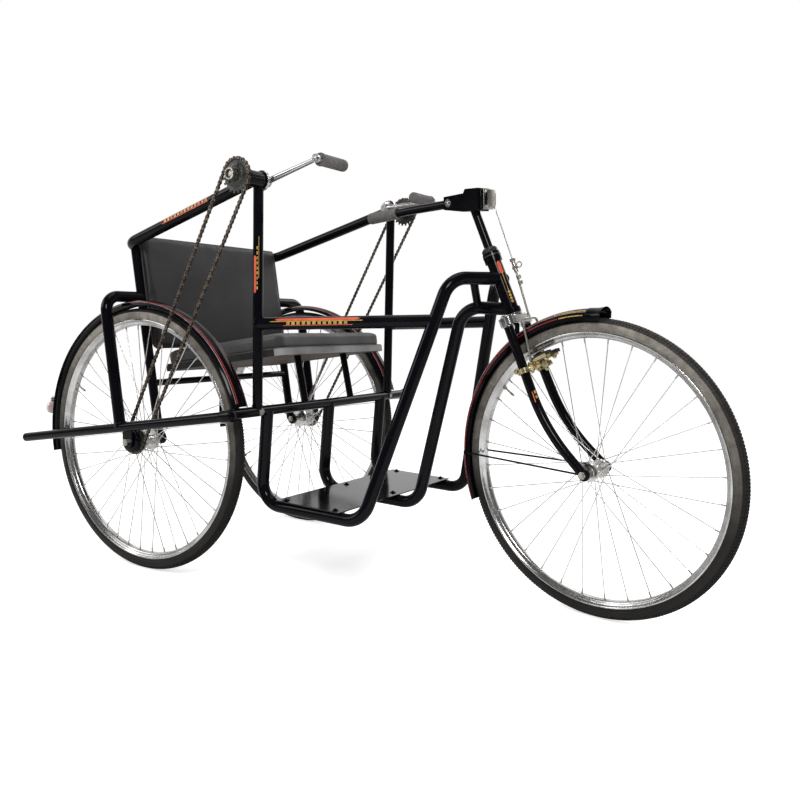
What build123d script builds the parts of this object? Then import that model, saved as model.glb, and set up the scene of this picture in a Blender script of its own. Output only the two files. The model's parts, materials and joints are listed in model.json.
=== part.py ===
from build123d import *
import math
import os

os.makedirs("parts", exist_ok=True)

# Hand-cranked tricycle: two large rear wheels beside the seat, one steered front wheel,
# three bent tube loops that carry the footboard, and a hand crank with a roller chain on each side.
# Units are millimetres. +X points forward, +Y to the rider's left and +Z up.
# The origin lies on the ground, under the middle of the tricycle's length.

# Wheels
wheel_radius = 355.5
tyre_section = 38.0
rim_seat_depth = 3.5
rim_depth = 12.0
rim_width = 34.0
track = 683.0
wheelbase = 1149.0
spoke_diameter = 2.4
spoke_cross_angle = 58.0
spoke_gap = 0.3
rear_spoke_count = 40
front_spoke_count = 32

# Hubs and fixed axles
rear_hub_length = 58.0
rear_hub_radius = 14.0
rear_flange_radius = 30.0
rear_flange_spread = 40.0
rear_boss_radius = 12.5
rear_boss_length = 16.0
front_hub_length = 62.0
front_hub_radius = 13.0
front_flange_radius = 22.0
front_flange_spread = 50.0
flange_thickness = 3.0
axle_diameter = 10.0
axle_clearance = 0.05
axle_nut_radius = 9.5
axle_nut_thickness = 8.0
nut_sides = 6
bracket_clearance = 0.3
fork_end_gap = 19.0

# Frame tubes and plates
main_tube = 31.8
post_tube = 25.4
arm_tube = 30.0
rail_tube = 25.4
leg_tube = 19.0
bracket_thickness = 5.0
gusset_thickness = 10.0
strut_tube = 20.0

# Footwell loops: the rear corner is counted forward from the rear axle.
# All other places of the front frame are counted forward from the steering axis at axle height.
loop_post_gap = 9.4
loop_rear_low = (348.0, 214.0)
loop_front_low = (-418.0, 207.0)
loop_knee_radius = 58.0
loop_shoulder_radius = 62.0
centre_shoulder = (-299.0, 731.0)
centre_lug_height = 726.0
side_shoulder = (-270.0, 797.0)
side_shoulder_half_spread = 125.0
side_lug_height = 800.0
lug_gap = 0.6
gusset_rear = -244.0
strut_top = (-240.0, 62.0, 797.0)
strut_foot = (-256.0, 0.0, 729.0)

# Cross bar, posts and rails
cross_bar_x = 366.0
cross_bar_height = 457.0
post_tyre_gap = 9.8
side_rail_rear_height = 677.0
side_rail_front_height = 694.0
chain_rail_gap = 13.5
rail_overhang = 18.0
rail_rear = (-430.0, 329.0)

# Arm rails, back legs and outer legs
arm_outset = 12.0
arm_rear_outset = 2.0
arm_rear = (-118.0, 883.0)
arm_corner_radius = 50.0
back_leg_inset = 16.0
back_leg_top_x = -100.0
back_leg_foot_x = -8.0
outer_leg_foot_x = -20.0
hump_corner_radius = 42.0
hump_seat_gap = 0.3

# Seat
seat_post_gap = 47.3
seat_front = (392.0, 600.0)
seat_rear = (-36.0, 535.0)
seat_board_thickness = 16.0
cushion_thickness = 36.0
cushion_corner = 22.0
cushion_edge = 9.0
support_half_spread = 105.0
support_top_x = 330.0
rear_bar_height = 505.0
back_edge_inset = 8.0
back_bottom = 596.0
back_top = 908.0
back_thickness = 16.0
back_corner = 14.0
back_clip_gap = 0.3

# Footboard
board_thickness = 3.0
board_front_inset = 58.0
board_rear_inset = 59.0
board_overhang = 14.0

# Steering
head_angle = 66.0
fork_offset = 67.0
park_angle = -11.0
head_tube_outer = 36.0
head_tube_bore = 29.0
steerer_diameter = 25.4
head_top = 852.0
head_bottom = 716.0
cup_height = 12.0
cup_radius = 22.0
cup_gap = 0.3
crown_height = 20.0
race_height = 9.0
race_radius = 19.0
crown_edge = 0.5
crown_length = 36.0
crown_corner = 12.0
fork_tyre_gap = 7.5
blade_diameter = 23.0
blade_bend = (-42.0, 452.0)
blade_bend_radius = 420.0
blade_tip = (58.0, 363.0)
fork_end_radius = 15.0
stem_diameter = 22.2
lock_ring_height = 10.0

# Tiller and its clamp, in the straight-ahead position
clamp_width = 46.0
clamp_rear = -354.0
clamp_hump = -292.0
clamp_front = -247.0
clamp_drop = 24.0
clamp_rise = 31.0
clamp_rear_half_height = 16.0
clamp_corner = 5.0
front_clamp_length = 26.0
front_clamp_width = 36.0
front_clamp_height = 48.0
tiller_diameter = 22.2
tiller_height = 990.0
tiller_end = -628.0
tiller_end_drop = 22.0
tiller_bend = -490.0
tiller_bend_drop = 9.0
tiller_bend_radius = 400.0
grip_length = 104.0
grip_diameter = 31.0
grip_end_wall = 6.0

# Mudguards
guard_tyre_gap = 21.5
rear_guard_width = 54.0
front_guard_width = 48.0
guard_crown = 13.0
guard_thickness = 1.5
rear_guard_angles = (18.0, 190.0)
front_guard_angles = (88.0, 200.0)
guard_bolt_diameter = 12.0

# Crank and chain drive
crank_height = 1029.0
crank_length = 163.0
crank_shell_gap = 8.0
right_crank_angle = 15.6
left_crank_angle = 3.0
shell_outset = 18.0
shell_radius = 20.0
shell_length = 68.0
shell_bore_radius = 12.0
bearing_cup_radius = 24.0
bearing_cup_width = 7.0
bearing_gap = 0.4
crank_axle_diameter = 16.0
crank_root_diameter = 16.0
crank_tip_diameter = 11.0
crank_eye_width = 12.0
crank_eye_radius = 13.0
pin_eye_radius = 9.5
handle_length = 100.0
handle_diameter = 30.0
handle_gap = 4.0
handle_edge = 5.0
pin_diameter = 9.0
chain_hub_gap = 7.5
chain_pitch = 12.7
chain_width = 7.6
chain_slot = 4.2
link_swell = 4.8
link_waist = 3.8
chain_links = 138
chainwheel_teeth = 20
cog_teeth = 16
tooth_width = 2.4
tooth_rise = 1.8
roller_radius = 4.0
slot_reach = 2.7
chainwheel_boss_radius = 17.0
crank_axle_overhang = 8.0
cog_body_radius = 22.0
cog_body_width = 12.0

# Front brake
pull_rod_diameter = 5.0
stirrup_diameter = 6.0
brake_cable_diameter = 3.0
brake_half_spread = 30.0
brake_cable_top = (-230.0, 0.0)
brake_cable_bend = (-212.0, -18.0)
brake_cable_low = (-156.0, 832.0)
adjuster_diameter = 10.0
adjuster_length = 34.0
brake_rod_low = (-127.0, 748.0)
brake_cable_bend_radius = 12.0
brake_rod_bend_radius = 40.0
stirrup_top = (-113.0, 706.0)
stirrup_foot = (-85.0, 590.0)
stirrup_bend_radius = 10.0
pad_inner_edge = 9.0
pad_outer_edge = 28.0
pad_rim_gap = 7.0
pad_depth = 9.0
pad_span = 8.0
brake_clip_height = 636.0
brake_clip_length = 26.0
brake_clip_wall = 3.5

overrun = 2.0

# Derived sizes and places
half_track = track / 2
axle_height = wheel_radius
tube_radius = main_tube / 2
axis_ground_x = wheelbase - fork_offset
crank_x = cross_bar_x
rail_front = (cross_bar_x + rail_overhang, cross_bar_height)
rim_outer_radius = wheel_radius - tyre_section + rim_seat_depth
rim_inner_radius = rim_outer_radius - rim_depth
guard_radius = wheel_radius + guard_tyre_gap
pad_radius = rim_inner_radius - pad_rim_gap

# Half spreads, worked out from the track inward and outward
post_half_spread = half_track - (tyre_section + post_tube) / 2 - post_tyre_gap
loop_half_spread = post_half_spread - (post_tube + main_tube) / 2 - loop_post_gap
arm_half_spread = post_half_spread + arm_outset
arm_rear_half_spread = post_half_spread + arm_rear_outset
back_leg_half_spread = post_half_spread - back_leg_inset
seat_width = 2 * (post_half_spread - post_tube / 2 - seat_post_gap)
back_width = 2 * (back_leg_half_spread - back_edge_inset)
shell_half_spread = post_half_spread + shell_outset
crank_half_spread = shell_half_spread - (shell_length + crank_eye_width) / 2 - crank_shell_gap
chain_half_spread = half_track + rear_hub_length / 2 + chain_hub_gap
rail_half_spread = chain_half_spread + (chain_width + rail_tube) / 2 + chain_rail_gap
fork_half_spread = (tyre_section + blade_diameter) / 2 + fork_tyre_gap
fork_end_half_spread = front_hub_length / 2 + fork_end_gap
crown_width = 2 * (fork_half_spread + crown_edge) + blade_diameter

# Lengths and heights of the clamp at the front end of the tiller
clamp_rear_x = axis_ground_x + clamp_rear
clamp_hump_x = axis_ground_x + clamp_hump
clamp_front_x = axis_ground_x + clamp_front
clamp_low = tiller_height - clamp_drop
clamp_high = tiller_height + clamp_rise
clamp_rear_high = tiller_height + clamp_rear_half_height
head_lean = math.tan(math.radians(90 - head_angle))
chainwheel_radius = chain_pitch / 2 / math.sin(math.pi / chainwheel_teeth)
cog_radius = chain_pitch / 2 / math.sin(math.pi / cog_teeth)


def axis_x(height):
    """Distance ahead of the rear axle where the steering axis crosses a height."""
    return axis_ground_x - (height - axle_height) * head_lean


def rail_height(x):
    """Height of the sloping outer rail's centre line at a distance ahead of the rear axle."""
    slope = (rail_front[1] - rail_rear[1]) / (rail_front[0] - rail_rear[0])
    return rail_rear[1] + (x - rail_rear[0]) * slope


def back_leg_x(height):
    """Distance of the leaning back leg's centre line ahead of the rear axle at a height."""
    slope = (back_leg_foot_x - back_leg_top_x) / (axle_height - arm_rear[1])
    return back_leg_top_x + (height - arm_rear[1]) * slope


# The parked front tyre and the ends of the outer rails set the tricycle's length.
tyre_ring_radius = wheel_radius - tyre_section / 2
park_turn = math.radians(park_angle)
lean_share = math.sin(math.radians(head_angle))
turned_hub_x = wheelbase - (wheelbase - axis_ground_x) * lean_share**2 * (1 - math.cos(park_turn))
front_reach = turned_hub_x + tyre_ring_radius * math.sqrt(1 - (math.sin(park_turn) * lean_share) ** 2)
front_reach = front_reach + tyre_section / 2
axle_x = (-rail_rear[0] - front_reach) / 2


def place(x, y, z):
    """Point given by its distance ahead of the rear axle."""
    return (axle_x + x, y, z)


def front_place(x, y, z):
    """Point given by its distance ahead of the steering axis at axle height."""
    return place(axis_ground_x + x, y, z)


steer_up = (-math.cos(math.radians(head_angle)), 0, math.sin(math.radians(head_angle)))
steer_axis = Axis(place(axis_ground_x, 0, axle_height), steer_up)
sides = (("right", -1), ("left", 1))
finished = {}


def finish(piece, name):
    """Label a finished piece and write it."""
    piece.label = name
    export_step(piece, f"parts/{name}.step")
    finished[name] = piece


def steered(piece):
    """Turn a piece of the front end from straight ahead to the parked steering angle."""
    return piece.rotate(steer_axis, park_angle)


def side_plane(y, x=0.0, z=0.0):
    """Upright plane along the tricycle: local x points forward and local y points up."""
    return Plane(origin=place(x, y, z), x_dir=(1, 0, 0), z_dir=(0, -1, 0))


def rod(route, diameter, bends=None):
    """Round bar or tube along a route of points, with a bend radius at each corner."""
    with BuildPart() as bar:
        with BuildLine() as line:
            if bends is None:
                Polyline(*route)
            else:
                FilletPolyline(*route, radius=bends)
        with BuildSketch(Plane(origin=line.line @ 0, z_dir=line.line % 0)):
            Circle(diameter / 2)
        sweep(path=line.line)
    return bar.part


def trimmed(piece, *cutters):
    """Piece with its ends coped to the pieces that it is joined to."""
    with BuildPart() as coped:
        add(piece)
        for cutter in cutters:
            add(cutter, mode=Mode.SUBTRACT)
    return coped.part


def largest(piece):
    """The main solid of a coped piece, without the offcut beyond the joint."""
    return piece.solids().sort_by(SortBy.VOLUME)[-1]


# Head tube with its bearing cups
head_plane = Plane(origin=place(axis_x(head_bottom), 0, head_bottom), x_dir=(0, 1, 0), z_dir=steer_up)
head_length = (head_top - head_bottom) / lean_share
with BuildPart() as head_core:
    with BuildSketch(head_plane):
        Circle(head_tube_outer / 2)
    extrude(amount=head_length)
    for end_offset in (0, head_length - cup_height):
        with BuildSketch(head_plane.offset(end_offset)):
            Circle(cup_radius)
        extrude(amount=cup_height)
with BuildPart() as head_tube:
    add(head_core.part)
    with BuildSketch(head_plane):
        Circle(head_tube_bore / 2)
    extrude(amount=head_length, mode=Mode.SUBTRACT)
finish(head_tube.part, "head_tube")

# Outer rails: sloping tubes outside the rear wheels, with a plate that holds the axle's outer end
rails = {}
for side_name, side in sides:
    rails[side_name] = rod(
        [
            place(rail_rear[0], side * rail_half_spread, rail_rear[1]),
            place(rail_front[0], side * rail_half_spread, rail_front[1]),
        ],
        rail_tube,
    )

# Cross bar in front of the rear wheels, coped to both outer rails
with BuildPart() as cross_bar:
    with BuildSketch(Plane(origin=place(cross_bar_x, 0, cross_bar_height), x_dir=(1, 0, 0), z_dir=(0, 1, 0))):
        Circle(rail_tube / 2)
    extrude(amount=rail_half_spread, both=True)
    for rail in rails.values():
        add(rail, mode=Mode.SUBTRACT)
finish(cross_bar.part, "cross_bar")

# Footwell loops: rear upright, floor run, front leg, shoulder, and lug at the head tube
loop_top_half_spread = tube_radius + lug_gap
# Columns: name, side, half spread at the floor, shoulder, half spread there, lug height, half spread there
loop_table = (
    ("loop_centre", 0, 0.0, centre_shoulder, 0.0, centre_lug_height, 0.0),
    ("loop_right", -1, loop_half_spread, side_shoulder, side_shoulder_half_spread,
     side_lug_height, loop_top_half_spread),
    ("loop_left", 1, loop_half_spread, side_shoulder, side_shoulder_half_spread,
     side_lug_height, loop_top_half_spread),
)
loops = {}
for name, side, half_spread, shoulder, shoulder_half_spread, lug_height, lug_half_spread in loop_table:
    loop_route = [
        place(cross_bar_x, side * half_spread, cross_bar_height),
        place(loop_rear_low[0], side * half_spread, loop_rear_low[1]),
        front_place(loop_front_low[0], side * half_spread, loop_front_low[1]),
        front_place(shoulder[0], side * shoulder_half_spread, shoulder[1]),
        place(axis_x(lug_height), side * lug_half_spread, lug_height),
    ]
    loop_bends = [loop_knee_radius, loop_knee_radius, loop_shoulder_radius]
    loop = trimmed(rod(loop_route, main_tube, loop_bends), cross_bar.part, head_core.part)
    loops[name] = largest(loop)
    finish(loops[name], name)

# Gusset web and two struts between the centre loop and the side loops, behind the head tube
with BuildPart() as head_gusset:
    with BuildSketch(side_plane(0)):
        with BuildLine():
            Polyline(
                (axis_ground_x + gusset_rear, centre_lug_height),
                (axis_x(centre_lug_height), centre_lug_height),
                (axis_x(side_lug_height), side_lug_height),
                (axis_ground_x + strut_top[0], side_lug_height - tube_radius),
                close=True,
            )
        make_face()
    extrude(amount=gusset_thickness / 2, both=True)
    for side_name, side in sides:
        strut_end = front_place(strut_top[0], side * strut_top[1], strut_top[2])
        add(rod([strut_end, front_place(*strut_foot)], strut_tube))
    for loop in loops.values():
        add(loop, mode=Mode.SUBTRACT)
    add(head_core.part, mode=Mode.SUBTRACT)
finish(largest(head_gusset.part), "head_gusset")

# Posts with the crank bearing shells on top
shells = {}
posts = {}
for side_name, side in sides:
    shell_plane = Plane(
        origin=place(crank_x, side * shell_half_spread, crank_height), x_dir=(1, 0, 0), z_dir=(0, 1, 0)
    )
    with BuildPart() as shell_outline:
        with BuildSketch(shell_plane):
            Circle(shell_radius)
        extrude(amount=shell_length / 2, both=True)
        for end in (-1, 1):
            with BuildSketch(shell_plane.offset(end * (shell_length - bearing_cup_width) / 2)):
                Circle(bearing_cup_radius)
            extrude(amount=bearing_cup_width / 2, both=True)
    with BuildPart() as post:
        with BuildSketch(Plane(origin=place(cross_bar_x, side * post_half_spread, cross_bar_height))):
            Circle(post_tube / 2)
        extrude(amount=crank_height - cross_bar_height)
        add(shell_outline.part)
        with BuildSketch(shell_plane):
            Circle(crank_axle_diameter / 2 + axle_clearance)
        extrude(amount=shell_length, both=True, mode=Mode.SUBTRACT)
        with BuildSketch(shell_plane):
            Circle(shell_bore_radius)
        extrude(amount=shell_length / 2 - bearing_cup_width, both=True, mode=Mode.SUBTRACT)
        add(cross_bar.part, mode=Mode.SUBTRACT)
    shells[side_name] = shell_outline.part
    posts[side_name] = post.part
    finish(post.part, f"post_{side_name}")

# Side rails from the posts forward and inward to the side loops
for side_name, side in sides:
    lug_share = (side_rail_front_height - loop_front_low[1]) / (side_shoulder[1] - loop_front_low[1])
    lug_reach = loop_front_low[0] + (side_shoulder[0] - loop_front_low[0]) * lug_share
    lug_y = loop_half_spread + (side_shoulder_half_spread - loop_half_spread) * lug_share
    side_rail = rod(
        [
            place(cross_bar_x, side * post_half_spread, side_rail_rear_height),
            front_place(lug_reach, side * lug_y, side_rail_front_height),
        ],
        main_tube,
    )
    side_rail = trimmed(side_rail, posts[side_name], loops[f"loop_{side_name}"])
    finish(largest(side_rail), f"side_rail_{side_name}")

# Arm rail: one tube from crank shell to crank shell, round the back of the seat
arm_route = [
    place(crank_x, -arm_half_spread, crank_height),
    place(arm_rear[0], -arm_rear_half_spread, arm_rear[1]),
    place(arm_rear[0], arm_rear_half_spread, arm_rear[1]),
    place(crank_x, arm_half_spread, crank_height),
]
arm_rail = trimmed(rod(arm_route, arm_tube, [arm_corner_radius] * 2), *shells.values(), *posts.values())
arm_rail = largest(arm_rail)
finish(arm_rail, "arm_rail")

# Back legs: from the arm rail down the inner side of each rear wheel to the axle's inner plate
hump_height = axle_height + math.sqrt(guard_radius**2 - back_leg_top_x**2 / 2) + arm_tube / 2 + hump_seat_gap
back_legs = {}
for side_name, side in sides:
    plate_y = side * back_leg_half_spread
    leg = rod(
        [
            place(back_leg_x(arm_rear[1]), plate_y, arm_rear[1]),
            place(back_leg_x(axle_height), plate_y, axle_height),
        ],
        post_tube,
    )
    with BuildPart() as back_leg:
        add(leg)
        with BuildSketch(side_plane(plate_y, 0, axle_height)):
            Circle(post_tube / 2 + bracket_thickness)
        extrude(amount=bracket_thickness / 2, both=True)
        with BuildSketch(side_plane(plate_y, 0, axle_height)):
            Circle(axle_nut_radius + overrun)
        extrude(amount=post_tube, both=True, mode=Mode.SUBTRACT)
        with BuildSketch(side_plane(plate_y, 0, axle_height)):
            Circle(axle_nut_radius + 2 * overrun)
            Circle(axle_diameter / 2 + bracket_clearance, mode=Mode.SUBTRACT)
        extrude(amount=bracket_thickness / 2, both=True)
        add(arm_rail, mode=Mode.SUBTRACT)
    back_legs[side_name] = back_leg.part
    finish(largest(back_leg.part), f"back_leg_{side_name}")

# Outer rails get their axle plates, and the outer legs arch over the mudguards down onto them
for side_name, side in sides:
    plate_y = side * (rail_half_spread - rail_tube / 2 + bracket_thickness)
    with BuildPart() as outer_rail:
        add(rails[side_name])
        with BuildSketch(side_plane(plate_y, 0, axle_height)):
            Circle(post_tube / 2 + bracket_thickness)
            with Locations((0, (rail_height(0) - axle_height) / 2)):
                Rectangle(post_tube + 2 * bracket_thickness, rail_height(0) - axle_height)
            Circle(axle_diameter / 2 + bracket_clearance, mode=Mode.SUBTRACT)
        extrude(amount=bracket_thickness / 2, both=True)
        add(cross_bar.part, mode=Mode.SUBTRACT)
    finish(outer_rail.part, f"outer_rail_{side_name}")
    outer_leg = rod(
        [
            place(back_leg_x(hump_height), side * back_leg_half_spread, hump_height),
            place(back_leg_x(hump_height), side * rail_half_spread, hump_height),
            place(outer_leg_foot_x, side * rail_half_spread, rail_height(outer_leg_foot_x)),
        ],
        arm_tube,
        [hump_corner_radius],
    )
    outer_leg = trimmed(outer_leg, back_legs[side_name], outer_rail.part)
    finish(largest(outer_leg), f"outer_leg_{side_name}")

# Seat: a plywood board that slopes down to the back, with a padded cushion on it
seat_slope = math.atan2(seat_front[1] - seat_rear[1], seat_front[0] - seat_rear[0])
seat_length = (seat_front[0] - seat_rear[0]) / math.cos(seat_slope)
seat_plane = Plane(
    origin=place(seat_rear[0], 0, seat_rear[1]),
    x_dir=(math.cos(seat_slope), 0, math.sin(seat_slope)),
    z_dir=(-math.sin(seat_slope), 0, math.cos(seat_slope)),
)
with BuildPart() as seat_board:
    with BuildSketch(seat_plane):
        with Locations((seat_length / 2, 0)):
            RectangleRounded(seat_length, seat_width, cushion_corner)
    extrude(amount=seat_board_thickness)
finish(seat_board.part, "seat_board")
with BuildPart() as seat_cushion:
    with BuildSketch(seat_plane.offset(seat_board_thickness)):
        with Locations((seat_length / 2, 0)):
            RectangleRounded(seat_length, seat_width, cushion_corner)
    extrude(amount=cushion_thickness)
    fillet(seat_cushion.faces().sort_by(Axis.Z)[-1].edges(), cushion_edge)
finish(seat_cushion.part, "seat_cushion")

# Seat supports: two struts from the cross bar, and a bar between the back legs
for side_name, side in sides:
    support_top_height = seat_rear[1] + (support_top_x - seat_rear[0]) * math.tan(seat_slope)
    support = rod(
        [
            place(cross_bar_x, side * support_half_spread, cross_bar_height),
            place(support_top_x, side * support_half_spread, support_top_height + leg_tube),
        ],
        leg_tube,
    )
    with BuildPart() as seat_void:
        with BuildSketch(seat_plane):
            with Locations((seat_length / 2, 0)):
                Rectangle(seat_length, seat_width)
        extrude(amount=seat_board_thickness + cushion_thickness)
    support = trimmed(support, cross_bar.part, seat_void.part)
    finish(largest(support), f"seat_strut_{side_name}")

rear_bar_x = back_leg_x(rear_bar_height)
with BuildPart() as seat_bar:
    add(
        rod(
            [
                place(rear_bar_x, -back_leg_half_spread, rear_bar_height),
                place(rear_bar_x, back_leg_half_spread, rear_bar_height),
            ],
            leg_tube,
        )
    )
    for leg in back_legs.values():
        add(leg, mode=Mode.SUBTRACT)
finish(largest(seat_bar.part), "seat_rear_bar")

# Backrest: a flat board that leans with the back legs, held on their front side
leg_lean = math.atan2(back_leg_foot_x - back_leg_top_x, arm_rear[1] - axle_height)
back_normal = Vector(math.cos(leg_lean), 0, math.sin(leg_lean))
back_stand_off = math.sqrt((post_tube / 2) ** 2 - back_edge_inset**2) + back_clip_gap
back_foot = Vector(*place(back_leg_x(back_bottom), 0, back_bottom)) + back_normal * back_stand_off
back_height = (back_top - back_bottom) / math.cos(leg_lean)
with BuildPart() as backrest:
    with BuildSketch(Plane(origin=back_foot, x_dir=(0, 1, 0), z_dir=back_normal)):
        with Locations((0, back_height / 2)):
            RectangleRounded(back_width, back_height, back_corner)
    extrude(amount=back_thickness)
finish(backrest.part, "backrest")

# Footboard: a steel sheet on the floor runs of the three loops
floor_length = axis_ground_x + loop_front_low[0] - loop_rear_low[0]
floor_slope = math.atan2(loop_rear_low[1] - loop_front_low[1], floor_length)
board_length = floor_length - board_rear_inset - board_front_inset
floor_plane = Plane(
    origin=place(loop_rear_low[0], 0, loop_rear_low[1]),
    x_dir=(math.cos(floor_slope), 0, -math.sin(floor_slope)),
    z_dir=(math.sin(floor_slope), 0, math.cos(floor_slope)),
)
with BuildPart() as footboard:
    with BuildSketch(floor_plane.offset(tube_radius)):
        with Locations((board_rear_inset + board_length / 2, 0)):
            Rectangle(board_length, 2 * (loop_half_spread + board_overhang))
    extrude(amount=board_thickness)
finish(footboard.part, "footboard")


# Wheels: a tyre, a rim and a hub whose flanges carry the crossed spokes
def spin_plane(hub):
    """Plane through a wheel's axle: local x points to the left along the axle and local y points up."""
    return Plane(origin=hub, x_dir=(0, 1, 0), z_dir=(1, 0, 0))


def make_tyre(hub):
    """Tyre with a round section, cut flat where it sits on the rim."""
    with BuildPart() as tyre:
        with BuildSketch(spin_plane(hub)):
            with Locations((0, tyre_ring_radius)):
                Circle(tyre_section / 2)
            with Locations((0, rim_outer_radius - tyre_section / 2)):
                Rectangle(tyre_section, tyre_section, mode=Mode.SUBTRACT)
        revolve(axis=Axis(hub, (0, 1, 0)))
    return tyre.part


def make_rim(hub):
    """Box-section rim with sloping flanks."""
    flank_radius = (rim_outer_radius + rim_inner_radius) / 2
    with BuildPart() as rim:
        with BuildSketch(spin_plane(hub)):
            with BuildLine():
                Polyline(
                    (-rim_width / 2, rim_outer_radius),
                    (-rim_width / 2, flank_radius),
                    (-rim_width / 4, rim_inner_radius),
                    (rim_width / 4, rim_inner_radius),
                    (rim_width / 2, flank_radius),
                    (rim_width / 2, rim_outer_radius),
                    close=True,
                )
            make_face()
        revolve(axis=Axis(hub, (0, 1, 0)))
    return rim.part


def make_spokes(hub, count, flange_radius, flange_spread):
    """Crossed spokes: on each flange every other spoke leans the other way."""
    spokes = []
    per_flange = count // 2
    for flange_side in (-1, 1):
        for index in range(per_flange):
            lean = 1 if index % 2 else -1
            rim_angle = math.radians((index + flange_side / 4) * 360 / per_flange)
            hub_angle = rim_angle + math.radians(lean * spoke_cross_angle)
            hole_radius = flange_radius - flange_thickness
            hub_y = hub[1] + flange_side * (flange_spread / 2) + lean * (flange_thickness / 2)
            start = Vector(
                hub[0] + hole_radius * math.cos(hub_angle),
                hub_y,
                hub[2] + hole_radius * math.sin(hub_angle),
            )
            reach = rim_inner_radius - spoke_gap
            stop = Vector(hub[0] + reach * math.cos(rim_angle), hub[1], hub[2] + reach * math.sin(rim_angle))
            with BuildPart() as spoke:
                with BuildSketch(Plane(origin=start, z_dir=stop - start)):
                    Circle(spoke_diameter / 2)
                extrude(amount=(stop - start).length)
            spokes.append(spoke.part)
    return spokes


def make_hub(hub, spokes, length, radius, flange_radius, flange_spread, boss_side=0):
    """Turned hub with two flanges, its bore and its spokes; a rear hub has a boss for the freewheel."""
    with BuildPart() as shell:
        with BuildSketch(side_plane(hub[1], hub[0] - axle_x, hub[2])):
            Circle(radius)
        extrude(amount=length / 2, both=True)
        for flange_side in (-1, 1):
            flange_y = hub[1] + flange_side * flange_spread / 2
            with BuildSketch(side_plane(flange_y, hub[0] - axle_x, hub[2])):
                Circle(flange_radius)
            extrude(amount=flange_thickness, both=True)
        if boss_side:
            boss_y = hub[1] + boss_side * (length + rear_boss_length) / 2
            with BuildSketch(side_plane(boss_y, hub[0] - axle_x, hub[2])):
                Circle(rear_boss_radius)
            extrude(amount=rear_boss_length / 2, both=True)
        add(spokes)
        with BuildSketch(side_plane(hub[1], hub[0] - axle_x, hub[2])):
            Circle(axle_diameter / 2 + axle_clearance)
        extrude(amount=length, both=True, mode=Mode.SUBTRACT)
    return shell.part


def make_axle(hub, inner_end, outer_end, inner_plate, outer_plate, hub_inner, hub_outer, side):
    """Fixed axle with hexagon nuts outside its two plates and collars between the plates and the hub."""
    with BuildPart() as axle:
        with BuildSketch(side_plane(inner_end, hub[0] - axle_x, hub[2])):
            Circle(axle_diameter / 2)
        extrude(amount=-(outer_end - inner_end))
        for plate_y, direction in ((inner_plate, -side), (outer_plate, side)):
            nut_start = plate_y + direction * bracket_thickness / 2
            with BuildSketch(side_plane(nut_start, hub[0] - axle_x, hub[2])):
                RegularPolygon(axle_nut_radius, nut_sides)
            extrude(amount=-direction * axle_nut_thickness)
        for collar_start, collar_end in ((inner_plate + side * bracket_thickness / 2, hub_inner),
                                         (outer_plate - side * bracket_thickness / 2, hub_outer)):
            with BuildSketch(side_plane(collar_start, hub[0] - axle_x, hub[2])):
                Circle(axle_nut_radius - overrun)
            extrude(amount=-(collar_end - collar_start))
    return axle.part


def make_guard(hub, angles, width):
    """Crowned mudguard strip, swept about the wheel's axle between two angles."""
    angle = math.radians(angles[0])
    radial = Plane(origin=hub, x_dir=(0, 1, 0), z_dir=(math.sin(angle), 0, -math.cos(angle)))
    inner_radius = guard_radius - guard_thickness
    with BuildPart() as guard:
        with BuildSketch(radial):
            with BuildLine():
                ThreePointArc(
                    (-width / 2, guard_radius - guard_crown),
                    (0, guard_radius),
                    (width / 2, guard_radius - guard_crown),
                )
                Line(
                    (width / 2, guard_radius - guard_crown),
                    (width / 2 - guard_thickness, guard_radius - guard_crown),
                )
                ThreePointArc(
                    (width / 2 - guard_thickness, guard_radius - guard_crown),
                    (0, inner_radius),
                    (guard_thickness - width / 2, guard_radius - guard_crown),
                )
                Line(
                    (guard_thickness - width / 2, guard_radius - guard_crown),
                    (-width / 2, guard_radius - guard_crown),
                )
            make_face()
        revolve(axis=Axis(hub, (0, -1, 0)), revolution_arc=angles[1] - angles[0])
    return guard.part


shaft_end = axle_nut_thickness + axle_diameter / 2
for side_name, side in sides:
    hub = place(0, side * half_track, axle_height)
    finish(make_tyre(hub), f"tyre_{side_name}")
    finish(make_rim(hub), f"rim_{side_name}")
    spokes = make_spokes(hub, rear_spoke_count, rear_flange_radius, rear_flange_spread)
    hub_part = make_hub(
        hub, spokes, rear_hub_length, rear_hub_radius, rear_flange_radius, rear_flange_spread, side
    )
    finish(hub_part, f"hub_{side_name}")
    inner_plate = side * back_leg_half_spread
    outer_plate = side * (rail_half_spread - rail_tube / 2 + bracket_thickness)
    axle = make_axle(
        hub,
        inner_plate - side * shaft_end,
        outer_plate + side * shaft_end,
        inner_plate,
        outer_plate,
        hub[1] - side * (rear_hub_length / 2 + bearing_gap),
        hub[1] + side * (rear_hub_length / 2 + rear_boss_length + bearing_gap),
        side,
    )
    finish(axle, f"rear_axle_{side_name}")
    guard = make_guard(hub, rear_guard_angles, rear_guard_width)
    finish(guard, f"rear_mudguard_{side_name}")

front_hub = place(wheelbase, 0, axle_height)
finish(steered(make_tyre(front_hub)), "tyre_front")
finish(steered(make_rim(front_hub)), "rim_front")
front_spokes = make_spokes(front_hub, front_spoke_count, front_flange_radius, front_flange_spread)
front_hub_part = make_hub(
    front_hub, front_spokes, front_hub_length, front_hub_radius, front_flange_radius, front_flange_spread
)
finish(steered(front_hub_part), "hub_front")
front_axle = make_axle(
    front_hub,
    -fork_end_half_spread - shaft_end,
    fork_end_half_spread + shaft_end,
    -fork_end_half_spread,
    fork_end_half_spread,
    -front_hub_length / 2 - bearing_gap,
    front_hub_length / 2 + bearing_gap,
    1,
)
finish(steered(front_axle), "front_axle")

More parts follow.
